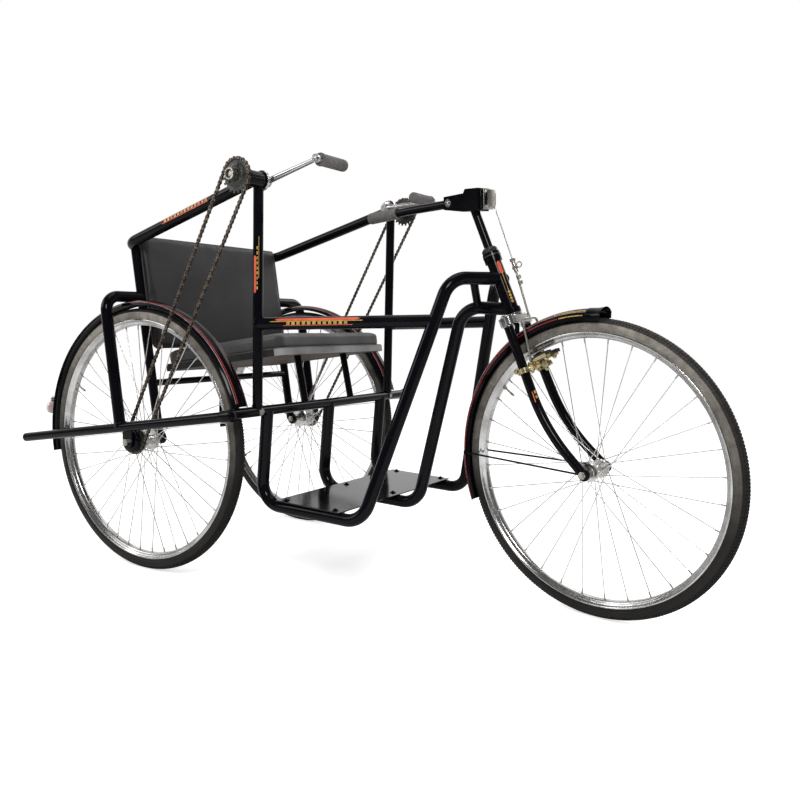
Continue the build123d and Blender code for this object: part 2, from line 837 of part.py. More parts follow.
# Fork: crown, steerer, two curved blades and their slotted ends
crown_plane = head_plane.offset(-cup_gap - race_height)
crown_bottom = head_bottom - (cup_gap + race_height + crown_height) * lean_share
stem_plane = head_plane.offset(head_length + cup_gap)
with BuildPart() as fork:
    with BuildSketch(crown_plane):
        RectangleRounded(crown_width, crown_length, crown_corner)
    extrude(amount=-crown_height)
    with BuildSketch(crown_plane):
        Circle(race_radius)
    extrude(amount=race_height)
    with BuildSketch(crown_plane):
        Circle(steerer_diameter / 2)
    extrude(amount=race_height + head_length + 2 * cup_gap)
    for side_name, side in sides:
        blade_route = [
            place(axis_x(crown_bottom), side * fork_half_spread, crown_bottom),
            front_place(blade_bend[0], side * (fork_half_spread + fork_end_half_spread) / 2, blade_bend[1]),
            front_place(blade_tip[0], side * fork_end_half_spread, blade_tip[1]),
        ]
        add(rod(blade_route, blade_diameter, [blade_bend_radius]))
        with BuildSketch(side_plane(side * fork_end_half_spread, wheelbase, axle_height)):
            Circle(fork_end_radius)
        extrude(amount=bracket_thickness / 2, both=True)
    with BuildSketch(side_plane(0, wheelbase, axle_height)):
        Circle(axle_diameter / 2 + bracket_clearance)
    extrude(amount=2 * fork_end_half_spread, both=True, mode=Mode.SUBTRACT)
    for side_name, side in sides:
        for direction in (-1, 1):
            relief_y = side * fork_end_half_spread + direction * bracket_thickness / 2
            with BuildSketch(side_plane(relief_y, wheelbase, axle_height)):
                Circle(axle_nut_radius + bracket_clearance)
            extrude(amount=-direction * blade_diameter, mode=Mode.SUBTRACT)
finish(steered(largest(fork.part)), "fork")

# Steering stem: lock ring on the steerer, upright stem and the sheet-metal clamp for the tiller
with BuildPart() as stem:
    with BuildSketch(stem_plane):
        Circle(cup_radius)
    extrude(amount=lock_ring_height)
    with BuildSketch(stem_plane):
        Circle(stem_diameter / 2)
    extrude(amount=(clamp_low + clamp_corner - head_top) / lean_share)
    with BuildSketch(side_plane(0)):
        with BuildLine():
            Polyline(
                (clamp_rear_x, tiller_height - clamp_rear_half_height),
                (clamp_rear_x, clamp_rear_high),
                (clamp_hump_x, clamp_rear_high + clamp_corner),
                (clamp_hump_x + clamp_corner, clamp_high),
                (clamp_front_x, clamp_high),
                (clamp_front_x, clamp_low),
                (clamp_hump_x, clamp_low),
                close=True,
            )
        make_face()
    extrude(amount=clamp_width / 2, both=True)
finish(steered(stem.part), "stem")

# Bright clamp block at the front end of the stem
with BuildPart() as stem_clamp:
    with BuildSketch(side_plane(0, clamp_front_x + front_clamp_length / 2, (clamp_low + clamp_high) / 2)):
        RectangleRounded(front_clamp_length, front_clamp_height, clamp_corner)
    extrude(amount=front_clamp_width / 2, both=True)
finish(steered(stem_clamp.part), "stem_clamp")

# Tiller bar with its rubber grip
tiller_tube = rod(
    [
        front_place(tiller_end, 0, tiller_height - tiller_end_drop),
        front_place(tiller_bend, 0, tiller_height - tiller_bend_drop),
        front_place(clamp_rear + clamp_corner, 0, tiller_height),
    ],
    tiller_diameter,
    [tiller_bend_radius],
)
tiller_tube = largest(trimmed(tiller_tube, stem.part))
finish(steered(tiller_tube), "tiller")
grip_start = Vector(*front_place(tiller_end, 0, tiller_height - tiller_end_drop))
grip_direction = Vector(tiller_bend - tiller_end, 0, tiller_end_drop - tiller_bend_drop).normalized()
with BuildPart() as tiller_grip:
    with BuildSketch(Plane(origin=grip_start - grip_direction * grip_end_wall, z_dir=grip_direction)):
        Circle(grip_diameter / 2)
    extrude(amount=grip_length)
    fillet(tiller_grip.edges().filter_by(GeomType.CIRCLE), grip_end_wall)
    add(tiller_tube, mode=Mode.SUBTRACT)
finish(steered(largest(tiller_grip.part)), "tiller_grip")

# Front mudguard with the bolt under the crown
with BuildPart() as front_mudguard:
    add(make_guard(front_hub, front_guard_angles, front_guard_width))
    bolt_reach = wheelbase - axis_x(crown_bottom)
    bolt_foot = axle_height + math.sqrt((guard_radius - guard_thickness) ** 2 - bolt_reach**2)
    with BuildSketch(Plane(origin=place(axis_x(crown_bottom), 0, bolt_foot))):
        Circle(guard_bolt_diameter / 2)
    extrude(amount=crown_bottom + crown_height / 2 - bolt_foot)
    add(fork.part, mode=Mode.SUBTRACT)
finish(steered(largest(front_mudguard.part)), "front_mudguard")

# Front brake: cable with its adjuster, pull rod, stirrup with two pads, and the clips on the fork blades
cable_route = [
    front_place(brake_cable_top[0], 0, tiller_height + brake_cable_top[1]),
    front_place(brake_cable_bend[0], 0, tiller_height + brake_cable_bend[1]),
    front_place(brake_cable_low[0], 0, brake_cable_low[1]),
]
pull_route = [
    front_place(brake_cable_low[0], 0, brake_cable_low[1]),
    front_place(brake_rod_low[0], 0, brake_rod_low[1]),
    front_place(stirrup_top[0], 0, stirrup_top[1]),
]
cable_run = Vector(*cable_route[2]) - Vector(*cable_route[1])
adjuster_start = Vector(*cable_route[2]) - cable_run.normalized() * adjuster_length / 2
with BuildPart() as brake_cable:
    add(rod(cable_route, brake_cable_diameter, [brake_cable_bend_radius]))
    with BuildSketch(Plane(origin=adjuster_start, z_dir=cable_run)):
        Circle(adjuster_diameter / 2)
    extrude(amount=adjuster_length)
    add(rod(pull_route, pull_rod_diameter, [brake_rod_bend_radius]))
    add(stem_clamp.part, mode=Mode.SUBTRACT)
with BuildPart() as brake_stirrup:
    add(
        rod(
            [
                front_place(stirrup_foot[0], -brake_half_spread, stirrup_foot[1]),
                front_place(stirrup_top[0], -brake_half_spread, stirrup_top[1]),
                front_place(stirrup_top[0], brake_half_spread, stirrup_top[1]),
                front_place(stirrup_foot[0], brake_half_spread, stirrup_foot[1]),
            ],
            stirrup_diameter,
            [stirrup_bend_radius] * 2,
        )
    )
stirrup_ends = [front_place(stirrup_top[0], side * brake_half_spread, stirrup_top[1]) for name, side in sides]
stirrup_room = rod(stirrup_ends, stirrup_diameter + 2 * axle_clearance)
brake_cable_part = largest(trimmed(brake_cable.part, stirrup_room))
finish(steered(brake_cable_part), "brake_cable")
finish(steered(brake_stirrup.part), "brake_stirrup")
pad_angle = math.atan2(stirrup_foot[1] - axle_height, stirrup_foot[0] - fork_offset)
with BuildPart() as brake_pads:
    for side_name, side in sides:
        pad_plane = Plane(
            origin=front_hub,
            x_dir=(0, side, 0),
            z_dir=(-math.sin(pad_angle), 0, math.cos(pad_angle)),
        )
        with BuildSketch(pad_plane):
            with Locations(
                ((pad_inner_edge + pad_outer_edge) / 2, -side * (pad_radius - pad_depth / 2))
            ):
                Rectangle(pad_outer_edge - pad_inner_edge, pad_depth)
        extrude(amount=pad_span, both=True)
    add(brake_stirrup.part, mode=Mode.SUBTRACT)
finish(steered(brake_pads.part), "brake_pads")
with BuildPart() as brake_clips:
    clip_share = (crown_bottom - brake_clip_height) / (crown_bottom - blade_bend[1])
    blade_run = axis_ground_x + blade_bend[0] - axis_x(crown_bottom)
    clip_x = axis_x(crown_bottom) + blade_run * clip_share
    clip_spread = fork_half_spread + (fork_end_half_spread - fork_half_spread) / 2 * clip_share
    arm_share = (stirrup_top[1] - brake_clip_height) / (stirrup_top[1] - stirrup_foot[1])
    arm_reach = stirrup_top[0] + (stirrup_foot[0] - stirrup_top[0]) * arm_share
    for side_name, side in sides:
        clip_plane = Plane(
            origin=place(clip_x, side * clip_spread, brake_clip_height),
            z_dir=(blade_run, 0, blade_bend[1] - crown_bottom),
        )
        with BuildSketch(clip_plane):
            Circle(blade_diameter / 2 + brake_clip_wall)
        extrude(amount=brake_clip_length / 2, both=True)
        add(
            rod(
                [
                    place(clip_x, side * clip_spread, brake_clip_height),
                    front_place(arm_reach + stirrup_diameter, side * brake_half_spread, brake_clip_height),
                ],
                2 * stirrup_diameter,
            )
        )
    add(fork.part, mode=Mode.SUBTRACT)
    add(brake_stirrup.part, mode=Mode.SUBTRACT)
finish(steered(brake_clips.part), "brake_clips")


# Crank drive on each side: crank with its handle, chainwheel, freewheel cog and roller chain
def make_sprocket(center, teeth, pitch_radius):
    """Toothed disc: roller gaps cut into a disc on the chain's pitch circle."""
    with BuildPart() as disc:
        with BuildSketch(side_plane(center[1], center[0] - axle_x, center[2])):
            Circle(pitch_radius + tooth_rise)
            with PolarLocations(pitch_radius, teeth):
                Circle(roller_radius, mode=Mode.SUBTRACT)
        extrude(amount=tooth_width / 2, both=True)
    return disc.part


cog_center = (0.0, axle_height)
wheel_center = (crank_x, crank_height)
center_gap = math.dist(cog_center, wheel_center)
run_angle = math.atan2(wheel_center[1] - cog_center[1], wheel_center[0] - cog_center[0])
wrap_angle = math.acos((cog_radius - chainwheel_radius) / center_gap)
run_length = math.sqrt(center_gap**2 - (chainwheel_radius - cog_radius) ** 2)
wheel_wrap = chainwheel_radius * 2 * wrap_angle
cog_wrap = cog_radius * 2 * (math.pi - wrap_angle)
chain_length = 2 * run_length + wheel_wrap + cog_wrap


def chain_point(distance, offset):
    """Point beside the chain's pitch line, at a distance along it from the cog's front tangent."""
    if distance < run_length:
        center, radius, angle, advance = cog_center, cog_radius, run_angle - wrap_angle, distance
    elif distance < run_length + wheel_wrap:
        turn = (distance - run_length) / chainwheel_radius
        center, radius, angle, advance = wheel_center, chainwheel_radius, run_angle - wrap_angle + turn, 0.0
    elif distance < 2 * run_length + wheel_wrap:
        advance = run_length + wheel_wrap - distance
        center, radius, angle = wheel_center, chainwheel_radius, run_angle + wrap_angle
    else:
        turn = (distance - 2 * run_length - wheel_wrap) / cog_radius
        center, radius, angle, advance = cog_center, cog_radius, run_angle + wrap_angle + turn, 0.0
    run_x = -math.sin(run_angle - wrap_angle) if angle < run_angle else math.sin(angle)
    run_z = math.cos(run_angle - wrap_angle) if angle < run_angle else -math.cos(angle)
    return (
        center[0] + (radius + offset) * math.cos(angle) + advance * run_x,
        center[1] + (radius + offset) * math.sin(angle) + advance * run_z,
    )


# Columns: side, direction of its outside, angle of the parked crank arm
crank_table = (("right", -1, right_crank_angle), ("left", 1, left_crank_angle))
for side_name, side, angle in crank_table:
    arm_angle = math.radians(angle)
    eye = (crank_length * math.cos(arm_angle), crank_length * math.sin(arm_angle))
    inner_face = crank_half_spread - crank_eye_width / 2
    arm_plane = Plane(
        origin=place(crank_x, side * crank_half_spread, crank_height),
        x_dir=(0, 1, 0),
        z_dir=(math.cos(arm_angle), 0, math.sin(arm_angle)),
    )
    with BuildPart() as crank:
        with BuildSketch(side_plane(side * inner_face, crank_x, crank_height)):
            Circle(crank_axle_diameter / 2)
        extrude(amount=-side * (chain_half_spread + crank_axle_overhang - inner_face))
        with BuildSketch(side_plane(side * crank_half_spread, crank_x, crank_height)):
            Circle(crank_eye_radius)
            with Locations(eye):
                Circle(pin_eye_radius)
        extrude(amount=crank_eye_width / 2, both=True)
        with Locations(arm_plane):
            Cone(
                crank_root_diameter / 2,
                crank_tip_diameter / 2,
                crank_length,
                align=(Align.CENTER, Align.CENTER, Align.MIN),
            )
        with BuildSketch(side_plane(side * crank_half_spread, crank_x + eye[0], crank_height + eye[1])):
            Circle(pin_diameter / 2)
        extrude(amount=side * (crank_eye_width / 2 + handle_gap + handle_length - handle_edge))
    finish(crank.part, f"crank_{side_name}")
    with BuildPart() as handle:
        handle_start = side * (inner_face - handle_gap)
        with BuildSketch(side_plane(handle_start, crank_x + eye[0], crank_height + eye[1])):
            Circle(handle_diameter / 2)
        extrude(amount=side * handle_length)
        fillet(handle.edges().filter_by(GeomType.CIRCLE), handle_edge)
        add(crank.part, mode=Mode.SUBTRACT)
    finish(handle.part, f"handle_{side_name}")

    chain_y = side * chain_half_spread
    boss_start = side * (shell_half_spread + shell_length / 2 + bearing_gap)
    with BuildPart() as chainwheel:
        add(make_sprocket(place(crank_x, chain_y, crank_height), chainwheel_teeth, chainwheel_radius))
        with BuildSketch(side_plane(boss_start, crank_x, crank_height)):
            Circle(chainwheel_boss_radius)
        extrude(amount=boss_start - chain_y)
        with BuildSketch(side_plane(chain_y, crank_x, crank_height)):
            Circle(crank_axle_diameter / 2 + axle_clearance)
        extrude(amount=shell_length, both=True, mode=Mode.SUBTRACT)
    finish(chainwheel.part, f"chainwheel_{side_name}")

    with BuildPart() as cog:
        add(make_sprocket(place(0, chain_y, axle_height), cog_teeth, cog_radius))
        with BuildSketch(side_plane(chain_y, 0, axle_height)):
            Circle(cog_body_radius)
        extrude(amount=cog_body_width / 2, both=True)
        with BuildSketch(side_plane(chain_y, 0, axle_height)):
            Circle(rear_boss_radius + axle_clearance)
        extrude(amount=cog_body_width, both=True, mode=Mode.SUBTRACT)
    finish(cog.part, f"cog_{side_name}")

    outer_edge = []
    inner_edge = []
    for step in range(2 * chain_links):
        distance = step * chain_length / (2 * chain_links)
        half_height = link_waist if step % 2 else link_swell
        outer_edge.append(chain_point(distance, half_height))
        inner_edge.append(chain_point(distance, -half_height))
    with BuildPart() as chain:
        with BuildSketch(side_plane(chain_y)):
            Polygon(*outer_edge, align=None)
            Polygon(*inner_edge, align=None, mode=Mode.SUBTRACT)
        extrude(amount=chain_width / 2, both=True)
        for center, radius in ((cog_center, cog_radius), (wheel_center, chainwheel_radius)):
            with BuildSketch(side_plane(chain_y, *center)):
                Circle(radius + slot_reach)
            extrude(amount=chain_slot / 2, both=True, mode=Mode.SUBTRACT)
    finish(chain.part, f"chain_{side_name}")
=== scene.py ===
import json
import math
import bmesh
import bpy
from mathutils import Matrix, Vector


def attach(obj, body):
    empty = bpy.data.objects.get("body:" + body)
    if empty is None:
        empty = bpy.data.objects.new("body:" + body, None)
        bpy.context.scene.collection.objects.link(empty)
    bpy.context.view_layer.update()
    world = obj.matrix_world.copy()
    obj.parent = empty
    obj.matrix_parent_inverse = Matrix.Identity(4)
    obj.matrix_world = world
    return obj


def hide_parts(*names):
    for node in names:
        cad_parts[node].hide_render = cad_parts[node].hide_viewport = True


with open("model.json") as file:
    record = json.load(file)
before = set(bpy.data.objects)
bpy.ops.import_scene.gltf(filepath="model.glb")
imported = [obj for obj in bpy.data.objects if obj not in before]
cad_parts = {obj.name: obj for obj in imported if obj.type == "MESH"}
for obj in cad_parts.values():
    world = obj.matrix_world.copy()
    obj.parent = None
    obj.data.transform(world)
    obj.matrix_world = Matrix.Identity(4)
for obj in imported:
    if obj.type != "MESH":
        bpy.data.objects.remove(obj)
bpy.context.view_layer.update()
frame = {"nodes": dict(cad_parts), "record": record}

# Places and sizes of the tricycle, in metres, X counted ahead from the rear axle, which is at AXLE_X
AXLE_X = -0.53416
WHEEL_RADIUS = 0.3555
TYRE_HALF = 0.019
RING_RADIUS = WHEEL_RADIUS - TYRE_HALF
RIM_OUTER = 0.321
RIM_INNER = 0.309
WHEEL_STEPS = 144
HALF_TRACK = 0.3415
WHEELBASE = 1.149
STEER_FOOT_X = 1.082
HEAD_ANGLE = math.radians(66)
HEAD_LEAN = math.radians(24)
PARK_TURN = math.radians(-11)
CRANK_X = 0.366
CRANK_Z = 1.029
CRANK_REACH = 0.163
CRANK_ANGLES = {"right": math.radians(15.6), "left": math.radians(3.0)}
CHAIN_Y = 0.378
CHAIN_LINKS = 138
CHAINWHEEL_RADIUS = 0.04059
COG_RADIUS = 0.03255
POST_Y = 0.3
TUBE_RADIUS = 0.0127
OUTER_RAIL_Y = 0.408
CLAMP_Z = 0.9935
GUARD_RADIUS = 0.377
GUARD_CROWN = 0.013
STRAIGHT = Matrix.Identity(4)
ACROSS = Vector((0, 1, 0))
UP = Vector((0, 0, 1))


def at(x, y, z):
    """Point given by its distance ahead of the rear axle."""
    return Vector((AXLE_X + x, y, z))


def moved(x, y, z):
    """Matrix that moves a form to a point given by its distance ahead of the rear axle."""
    return Matrix.Translation(at(x, y, z))


def shifted(x, y, z):
    """Matrix that moves a form by a step in its own axes."""
    return Matrix.Translation((x, y, z))


def turned(degrees, axis="Z"):
    return Matrix.Rotation(math.radians(degrees), 4, axis)


steer_foot = at(STEER_FOOT_X, 0, WHEEL_RADIUS)
steer_up = Vector((-math.cos(HEAD_ANGLE), 0, math.sin(HEAD_ANGLE)))
steer_turn = (
    Matrix.Translation(steer_foot) @ Matrix.Rotation(PARK_TURN, 4, steer_up) @ Matrix.Translation(-steer_foot)
)


def head_point(height):
    """Point on the steering axis, straight ahead, at a height."""
    return at(STEER_FOOT_X - (height - WHEEL_RADIUS) * math.tan(HEAD_LEAN), 0, height)


# Camera at the photograph's viewing angle
def add_camera():
    data = bpy.data.cameras.new("photo_camera")
    camera = bpy.data.objects.new("photo_camera", data)
    bpy.context.scene.collection.objects.link(camera)
    data.sensor_width = 36.0
    data.lens = 837.0 / 800.0 * 36.0
    data.clip_start = 0.05
    data.clip_end = 60.0
    right = Vector((0.8466966, 0.53166377, 0.02094041))
    down = Vector((0.07021937, -0.07264223, -0.99488308))
    forward = Vector((-0.52742213, 0.84383455, -0.09883903))
    turn = Matrix((right, -down, -forward)).transposed().to_4x4()
    camera.matrix_world = moved(1.78089, -1.88728, 0.7021) @ turn
    bpy.context.scene.camera = camera


# Shared shader node groups
COLOR = "NodeSocketColor"
FLOAT = "NodeSocketFloat"


def new_group(name, inputs, outputs):
    tree = bpy.data.node_groups.new(name, "ShaderNodeTree")
    for socket_name, kind, default in inputs:
        socket = tree.interface.new_socket(name=socket_name, in_out="INPUT", socket_type=kind)
        socket.default_value = default
    for socket_name, kind in outputs:
        tree.interface.new_socket(name=socket_name, in_out="OUTPUT", socket_type=kind)
    return tree, tree.nodes.new("NodeGroupInput").outputs, tree.nodes.new("NodeGroupOutput").inputs


def object_place(tree):
    return tree.nodes.new("ShaderNodeTexCoord").outputs["Object"]


def noise(tree, vector, scale, detail=4.0, roughness=0.55):
    node = tree.nodes.new("ShaderNodeTexNoise")
    node.inputs["Detail"].default_value = detail
    node.inputs["Roughness"].default_value = roughness
    if isinstance(scale, (int, float)):
        node.inputs["Scale"].default_value = scale
    else:
        tree.links.new(scale, node.inputs["Scale"])
    tree.links.new(vector, node.inputs["Vector"])
    return node.outputs["Fac"]


def remap(tree, value, low, high, to_low=0.0, to_high=1.0):
    node = tree.nodes.new("ShaderNodeMapRange")
    for socket, number in (("From Min", low), ("From Max", high), ("To Min", to_low), ("To Max", to_high)):
        if isinstance(number, (int, float)):
            node.inputs[socket].default_value = number
        else:
            tree.links.new(number, node.inputs[socket])
    tree.links.new(value, node.inputs["Value"])
    return node.outputs["Result"]


def combine(tree, operation, first, second):
    """Math node on two values."""
    node = tree.nodes.new("ShaderNodeMath")
    node.operation = operation
    tree.links.new(first, node.inputs[0])
    tree.links.new(second, node.inputs[1])
    return node.outputs[0]


def mix(tree, factor, first, second, kind="RGBA"):
    node = tree.nodes.new("ShaderNodeMix")
    node.data_type = kind
    for socket, value in (("Factor", factor), ("A", first), ("B", second)):
        tree.links.new(value, node.inputs[socket])
    return node.outputs["Result"]


def add_bump(tree, shader, height, strength, distance):
    bump = tree.nodes.new("ShaderNodeBump")
    bump.inputs["Strength"].default_value = strength
    bump.inputs["Distance"].default_value = distance
    tree.links.new(height, bump.inputs["Height"])
    tree.links.new(bump.outputs["Normal"], shader.inputs["Normal"])


def build_mottle_group():
    """Uneven tone of a finish: a colour that drifts between two, and an uneven roughness."""
    tree, source, result = new_group(
        "mottled_finish",
        [("Base", COLOR, (0.5, 0.5, 0.5, 1)), ("Second", COLOR, (0.4, 0.4, 0.4, 1)), ("Scale", FLOAT, 12.0),
         ("Low Gloss", FLOAT, 0.2), ("High Gloss", FLOAT, 0.4)],
        [("Color", COLOR), ("Roughness", FLOAT)],
    )
    place = object_place(tree)
    broad = noise(tree, place, source["Scale"])
    fine = noise(tree, place, 240.0, 3.0)
    color = mix(tree, remap(tree, broad, 0.35, 0.65), source["Base"], source["Second"])
    tree.links.new(color, result["Color"])
    both = combine(tree, "ADD", broad, fine)
    gloss = remap(tree, both, 0.75, 1.25, source["Low Gloss"], source["High Gloss"])
    tree.links.new(gloss, result["Roughness"])
    return tree


def build_dust_group():
    """Dust and scuffs that settle in soft patches."""
    tree, source, result = new_group(
        "dust_and_scuffs",
        [("Color", COLOR, (0.5, 0.5, 0.5, 1)), ("Dust", COLOR, (0.35, 0.32, 0.28, 1)), ("Amount", FLOAT, 0.2),
         ("Scale", FLOAT, 6.0)],
        [("Color", COLOR), ("Mask", FLOAT)],
    )
    place = object_place(tree)
    patch = noise(tree, place, source["Scale"], 6.0, 0.62)
    speck = noise(tree, place, 160.0, 5.0, 0.7)
    settled = combine(tree, "MULTIPLY", remap(tree, patch, 0.45, 0.75), remap(tree, speck, 0.42, 0.68))
    mask = combine(tree, "MULTIPLY", settled, source["Amount"])
    tree.links.new(mix(tree, mask, source["Color"], source["Dust"]), result["Color"])
    tree.links.new(mask, result["Mask"])
    return tree


def build_grain_group():
    """Height of a fine grain: soft pits of two sizes."""
    tree, source, result = new_group("fine_grain", [("Scale", FLOAT, 400.0), ("Pits", FLOAT, 0.5)],
                                     [("Height", FLOAT)])
    place = object_place(tree)
    cells = tree.nodes.new("ShaderNodeTexVoronoi")
    tree.links.new(place, cells.inputs["Vector"])
    tree.links.new(source["Scale"], cells.inputs["Scale"])
    soft = noise(tree, place, source["Scale"], 3.0)
    height = mix(tree, source["Pits"], soft, cells.outputs["Distance"], "FLOAT")
    tree.links.new(height, result["Height"])
    return tree


def build_top_light_and_bloom_group():
    """Painted light from above, with some chalky bloom: a paler colour on the upper part of a tyre, in uneven
    patches.
    """
    tree, source, result = new_group(
        "painted_top_light_and_bloom",
        [("Color", COLOR, (0.02, 0.02, 0.02, 1)), ("Dry", COLOR, (0.2, 0.19, 0.16, 1))],
        [("Color", COLOR)],
    )
    place = object_place(tree)
    axes = tree.nodes.new("ShaderNodeSeparateXYZ")
    tree.links.new(place, axes.inputs[0])
    broad = noise(tree, place, 7.0, 5.0, 0.6)
    fine = noise(tree, place, 60.0, 4.0, 0.6)
    # Painted light: the colour grows paler with height, as if lit from above.
    rise = remap(tree, axes.outputs["Z"], 0.25, 0.64)
    lift = combine(tree, "MULTIPLY", rise, remap(tree, broad, 0.3, 0.62, 0.35, 1.0))
    streak = combine(tree, "MULTIPLY", lift, remap(tree, fine, 0.3, 0.65, 0.55, 1.0))
    tree.links.new(mix(tree, streak, source["Color"], source["Dry"]), result["Color"])
    return tree


mottle_group = build_mottle_group()
top_light_and_bloom_group = build_top_light_and_bloom_group()
dust_group = build_dust_group()
grain_group = build_grain_group()


def new_material(name):
    material = bpy.data.materials.new(name)
    material.use_nodes = True
    return material, material.node_tree, material.node_tree.nodes["Principled BSDF"]


def add_group(tree, group, **values):
    """Adds a shared group and sets its inputs, named with _ for a space."""
    node = tree.nodes.new("ShaderNodeGroup")
    node.node_tree = group
    for name, value in values.items():
        node.inputs[name.replace("_", " ")].default_value = value
    return node


def finish_material(name, base, second, scale, low_gloss, high_gloss, metallic=0.0, coat=0.0, dust=0.0,
                    dust_color=(0.3, 0.27, 0.24), grain=0.0, grain_scale=400.0, pits=0.5, shine=0.5,
                    lit_top=None):
    """Procedural finish: mottled colour and gloss, dust, a grain in the bump and painted light from above,
    with some chalky bloom, on the upper part.
    """
    material, tree, shader = new_material(name)
    shader.inputs["Metallic"].default_value = metallic
    shader.inputs["Coat Weight"].default_value = coat
    shader.inputs["Coat Roughness"].default_value = 0.06
    shader.inputs["Specular IOR Level"].default_value = shine
    mottle = add_group(tree, mottle_group, Base=(*base, 1), Second=(*second, 1), Scale=scale,
                       Low_Gloss=low_gloss, High_Gloss=high_gloss)
    color = mottle.outputs["Color"]
    if lit_top:
        lit_top_node = add_group(tree, top_light_and_bloom_group, Dry=(*lit_top, 1))
        tree.links.new(color, lit_top_node.inputs["Color"])
        color = lit_top_node.outputs["Color"]
    if dust:
        dusty = add_group(tree, dust_group, Amount=dust, Dust=(*dust_color, 1))
        tree.links.new(color, dusty.inputs["Color"])
        color = dusty.outputs["Color"]
    tree.links.new(color, shader.inputs["Base Color"])
    tree.links.new(mottle.outputs["Roughness"], shader.inputs["Roughness"])
    if grain:
        pattern = add_group(tree, grain_group, Scale=grain_scale, Pits=pits)
        add_bump(tree, shader, pattern.outputs["Height"], grain, 0.0006)
    return material


def wood_material():
    """Plywood underside: long grain streaks under a thin worn varnish, in very dark colours that paint the
    shade under the seat.
    """
    material, tree, shader = new_material("plywood")
    stretch = tree.nodes.new("ShaderNodeMapping")
    stretch.inputs["Scale"].default_value = (30.0, 2.2, 30.0)
    tree.links.new(object_place(tree), stretch.inputs["Vector"])
    streak = noise(tree, stretch.outputs["Vector"], 3.0, 8.0, 0.6)
    ramp = tree.nodes.new("ShaderNodeValToRGB")
    # Both wood colours are kept very dark: painted shade under the seat.
    dark, pale = ramp.color_ramp.elements
    dark.position = 0.32
    dark.color = (0.018, 0.01, 0.005, 1)
    pale.position = 0.68
    pale.color = (0.07, 0.04, 0.02, 1)
    tree.links.new(streak, ramp.inputs["Fac"])
    shader.inputs["Specular IOR Level"].default_value = 0.15
    tree.links.new(ramp.outputs["Color"], shader.inputs["Base Color"])
    tree.links.new(remap(tree, streak, 0.3, 0.7, 0.45, 0.7), shader.inputs["Roughness"])
    add_bump(tree, shader, streak, 0.3, 0.0004)
    return material


black_enamel = finish_material(
    "black_enamel", (0.0016, 0.0016, 0.0028), (0.0036, 0.0036, 0.0052), 9.0, 0.06, 0.15,
    dust=0.02, grain=0.08, grain_scale=60.0, pits=0.0, shine=0.11)
board_enamel = finish_material(
    "footboard_enamel", (0.0022, 0.0022, 0.003), (0.006, 0.0056, 0.0056), 7.0, 0.06, 0.2,
    dust=0.05, grain=0.22, grain_scale=22.0, pits=0.0, shine=0.3)
rim_chrome = finish_material(
    "rim_chrome", (0.66, 0.66, 0.66), (0.42, 0.41, 0.4), 16.0, 0.12, 0.34,
    metallic=1.0, dust=0.3, dust_color=(0.16, 0.13, 0.11))
spoke_steel = finish_material(
    "spoke_steel", (0.74, 0.73, 0.72), (0.56, 0.55, 0.53), 18.0, 0.22, 0.42,
    metallic=1.0, dust=0.15)
bright_chrome = finish_material(
    "bright_chrome", (0.62, 0.61, 0.61), (0.44, 0.43, 0.42), 26.0, 0.07, 0.24,
    metallic=1.0, dust=0.25, dust_color=(0.18, 0.15, 0.13), grain=0.08)
plated_steel = finish_material(
    "plated_steel", (0.52, 0.5, 0.46), (0.34, 0.32, 0.28), 30.0, 0.22, 0.42,
    metallic=1.0, dust=0.35, dust_color=(0.16, 0.13, 0.11), grain=0.15)
dark_steel = finish_material(
    "oiled_dark_steel", (0.085, 0.088, 0.08), (0.04, 0.04, 0.036), 28.0, 0.28, 0.5,
    metallic=0.7, dust=0.35, dust_color=(0.12, 0.11, 0.09), grain=0.3)
chain_steel = finish_material(
    "chain_steel", (0.018, 0.013, 0.011), (0.008, 0.006, 0.005), 70.0, 0.35, 0.6,
    metallic=0.2, dust=0.2, dust_color=(0.1, 0.055, 0.03), grain=0.3)
chain_plate = finish_material(
    "chain_outer_plates", (0.2, 0.155, 0.115), (0.085, 0.062, 0.046), 70.0, 0.28, 0.5,
    metallic=0.5, dust=0.4, dust_color=(0.22, 0.12, 0.07), grain=0.3)
# Tyre rubber: the last colour given to each is painted light from above on the tyre's upper part, with some
# chalky bloom.
tyre_black = finish_material(
    "tyre_tread_rubber", (0.004, 0.0036, 0.0034), (0.0085, 0.0074, 0.0066), 16.0, 0.45, 0.7,
    dust=0.3, dust_color=(0.045, 0.036, 0.03), grain=0.4, grain_scale=500.0, pits=0.3,
    shine=0.22, lit_top=(0.046, 0.041, 0.037))
tyre_wall = finish_material(
    "tyre_wall_rubber", (0.0055, 0.0048, 0.0044), (0.014, 0.012, 0.0104), 9.0, 0.4, 0.65,
    dust=0.25, dust_color=(0.085, 0.073, 0.058), grain=0.35, grain_scale=620.0, pits=0.2,
    shine=0.22, lit_top=(0.295, 0.27, 0.235))
grip_rubber = finish_material(
    "grip_rubber", (0.125, 0.116, 0.114), (0.08, 0.075, 0.074), 25.0, 0.5, 0.72,
    dust=0.35, grain=0.35, grain_scale=700.0)
pad_rubber = finish_material(
    "pad_rubber", (0.016, 0.015, 0.015), (0.01, 0.0095, 0.009), 40.0, 0.7, 0.9, grain=0.3)
clip_brass = finish_material(
    "clip_brass", (0.6, 0.52, 0.3), (0.42, 0.34, 0.18), 50.0, 0.18, 0.4,
    metallic=1.0, dust=0.3, dust_color=(0.2, 0.16, 0.09), grain=0.15)
seat_vinyl = finish_material(
    "seat_vinyl", (0.08, 0.078, 0.077), (0.05, 0.049, 0.049), 5.0, 0.4, 0.6,
    dust=0.35, dust_color=(0.18, 0.165, 0.15), grain=0.45, grain_scale=620.0, pits=0.7)
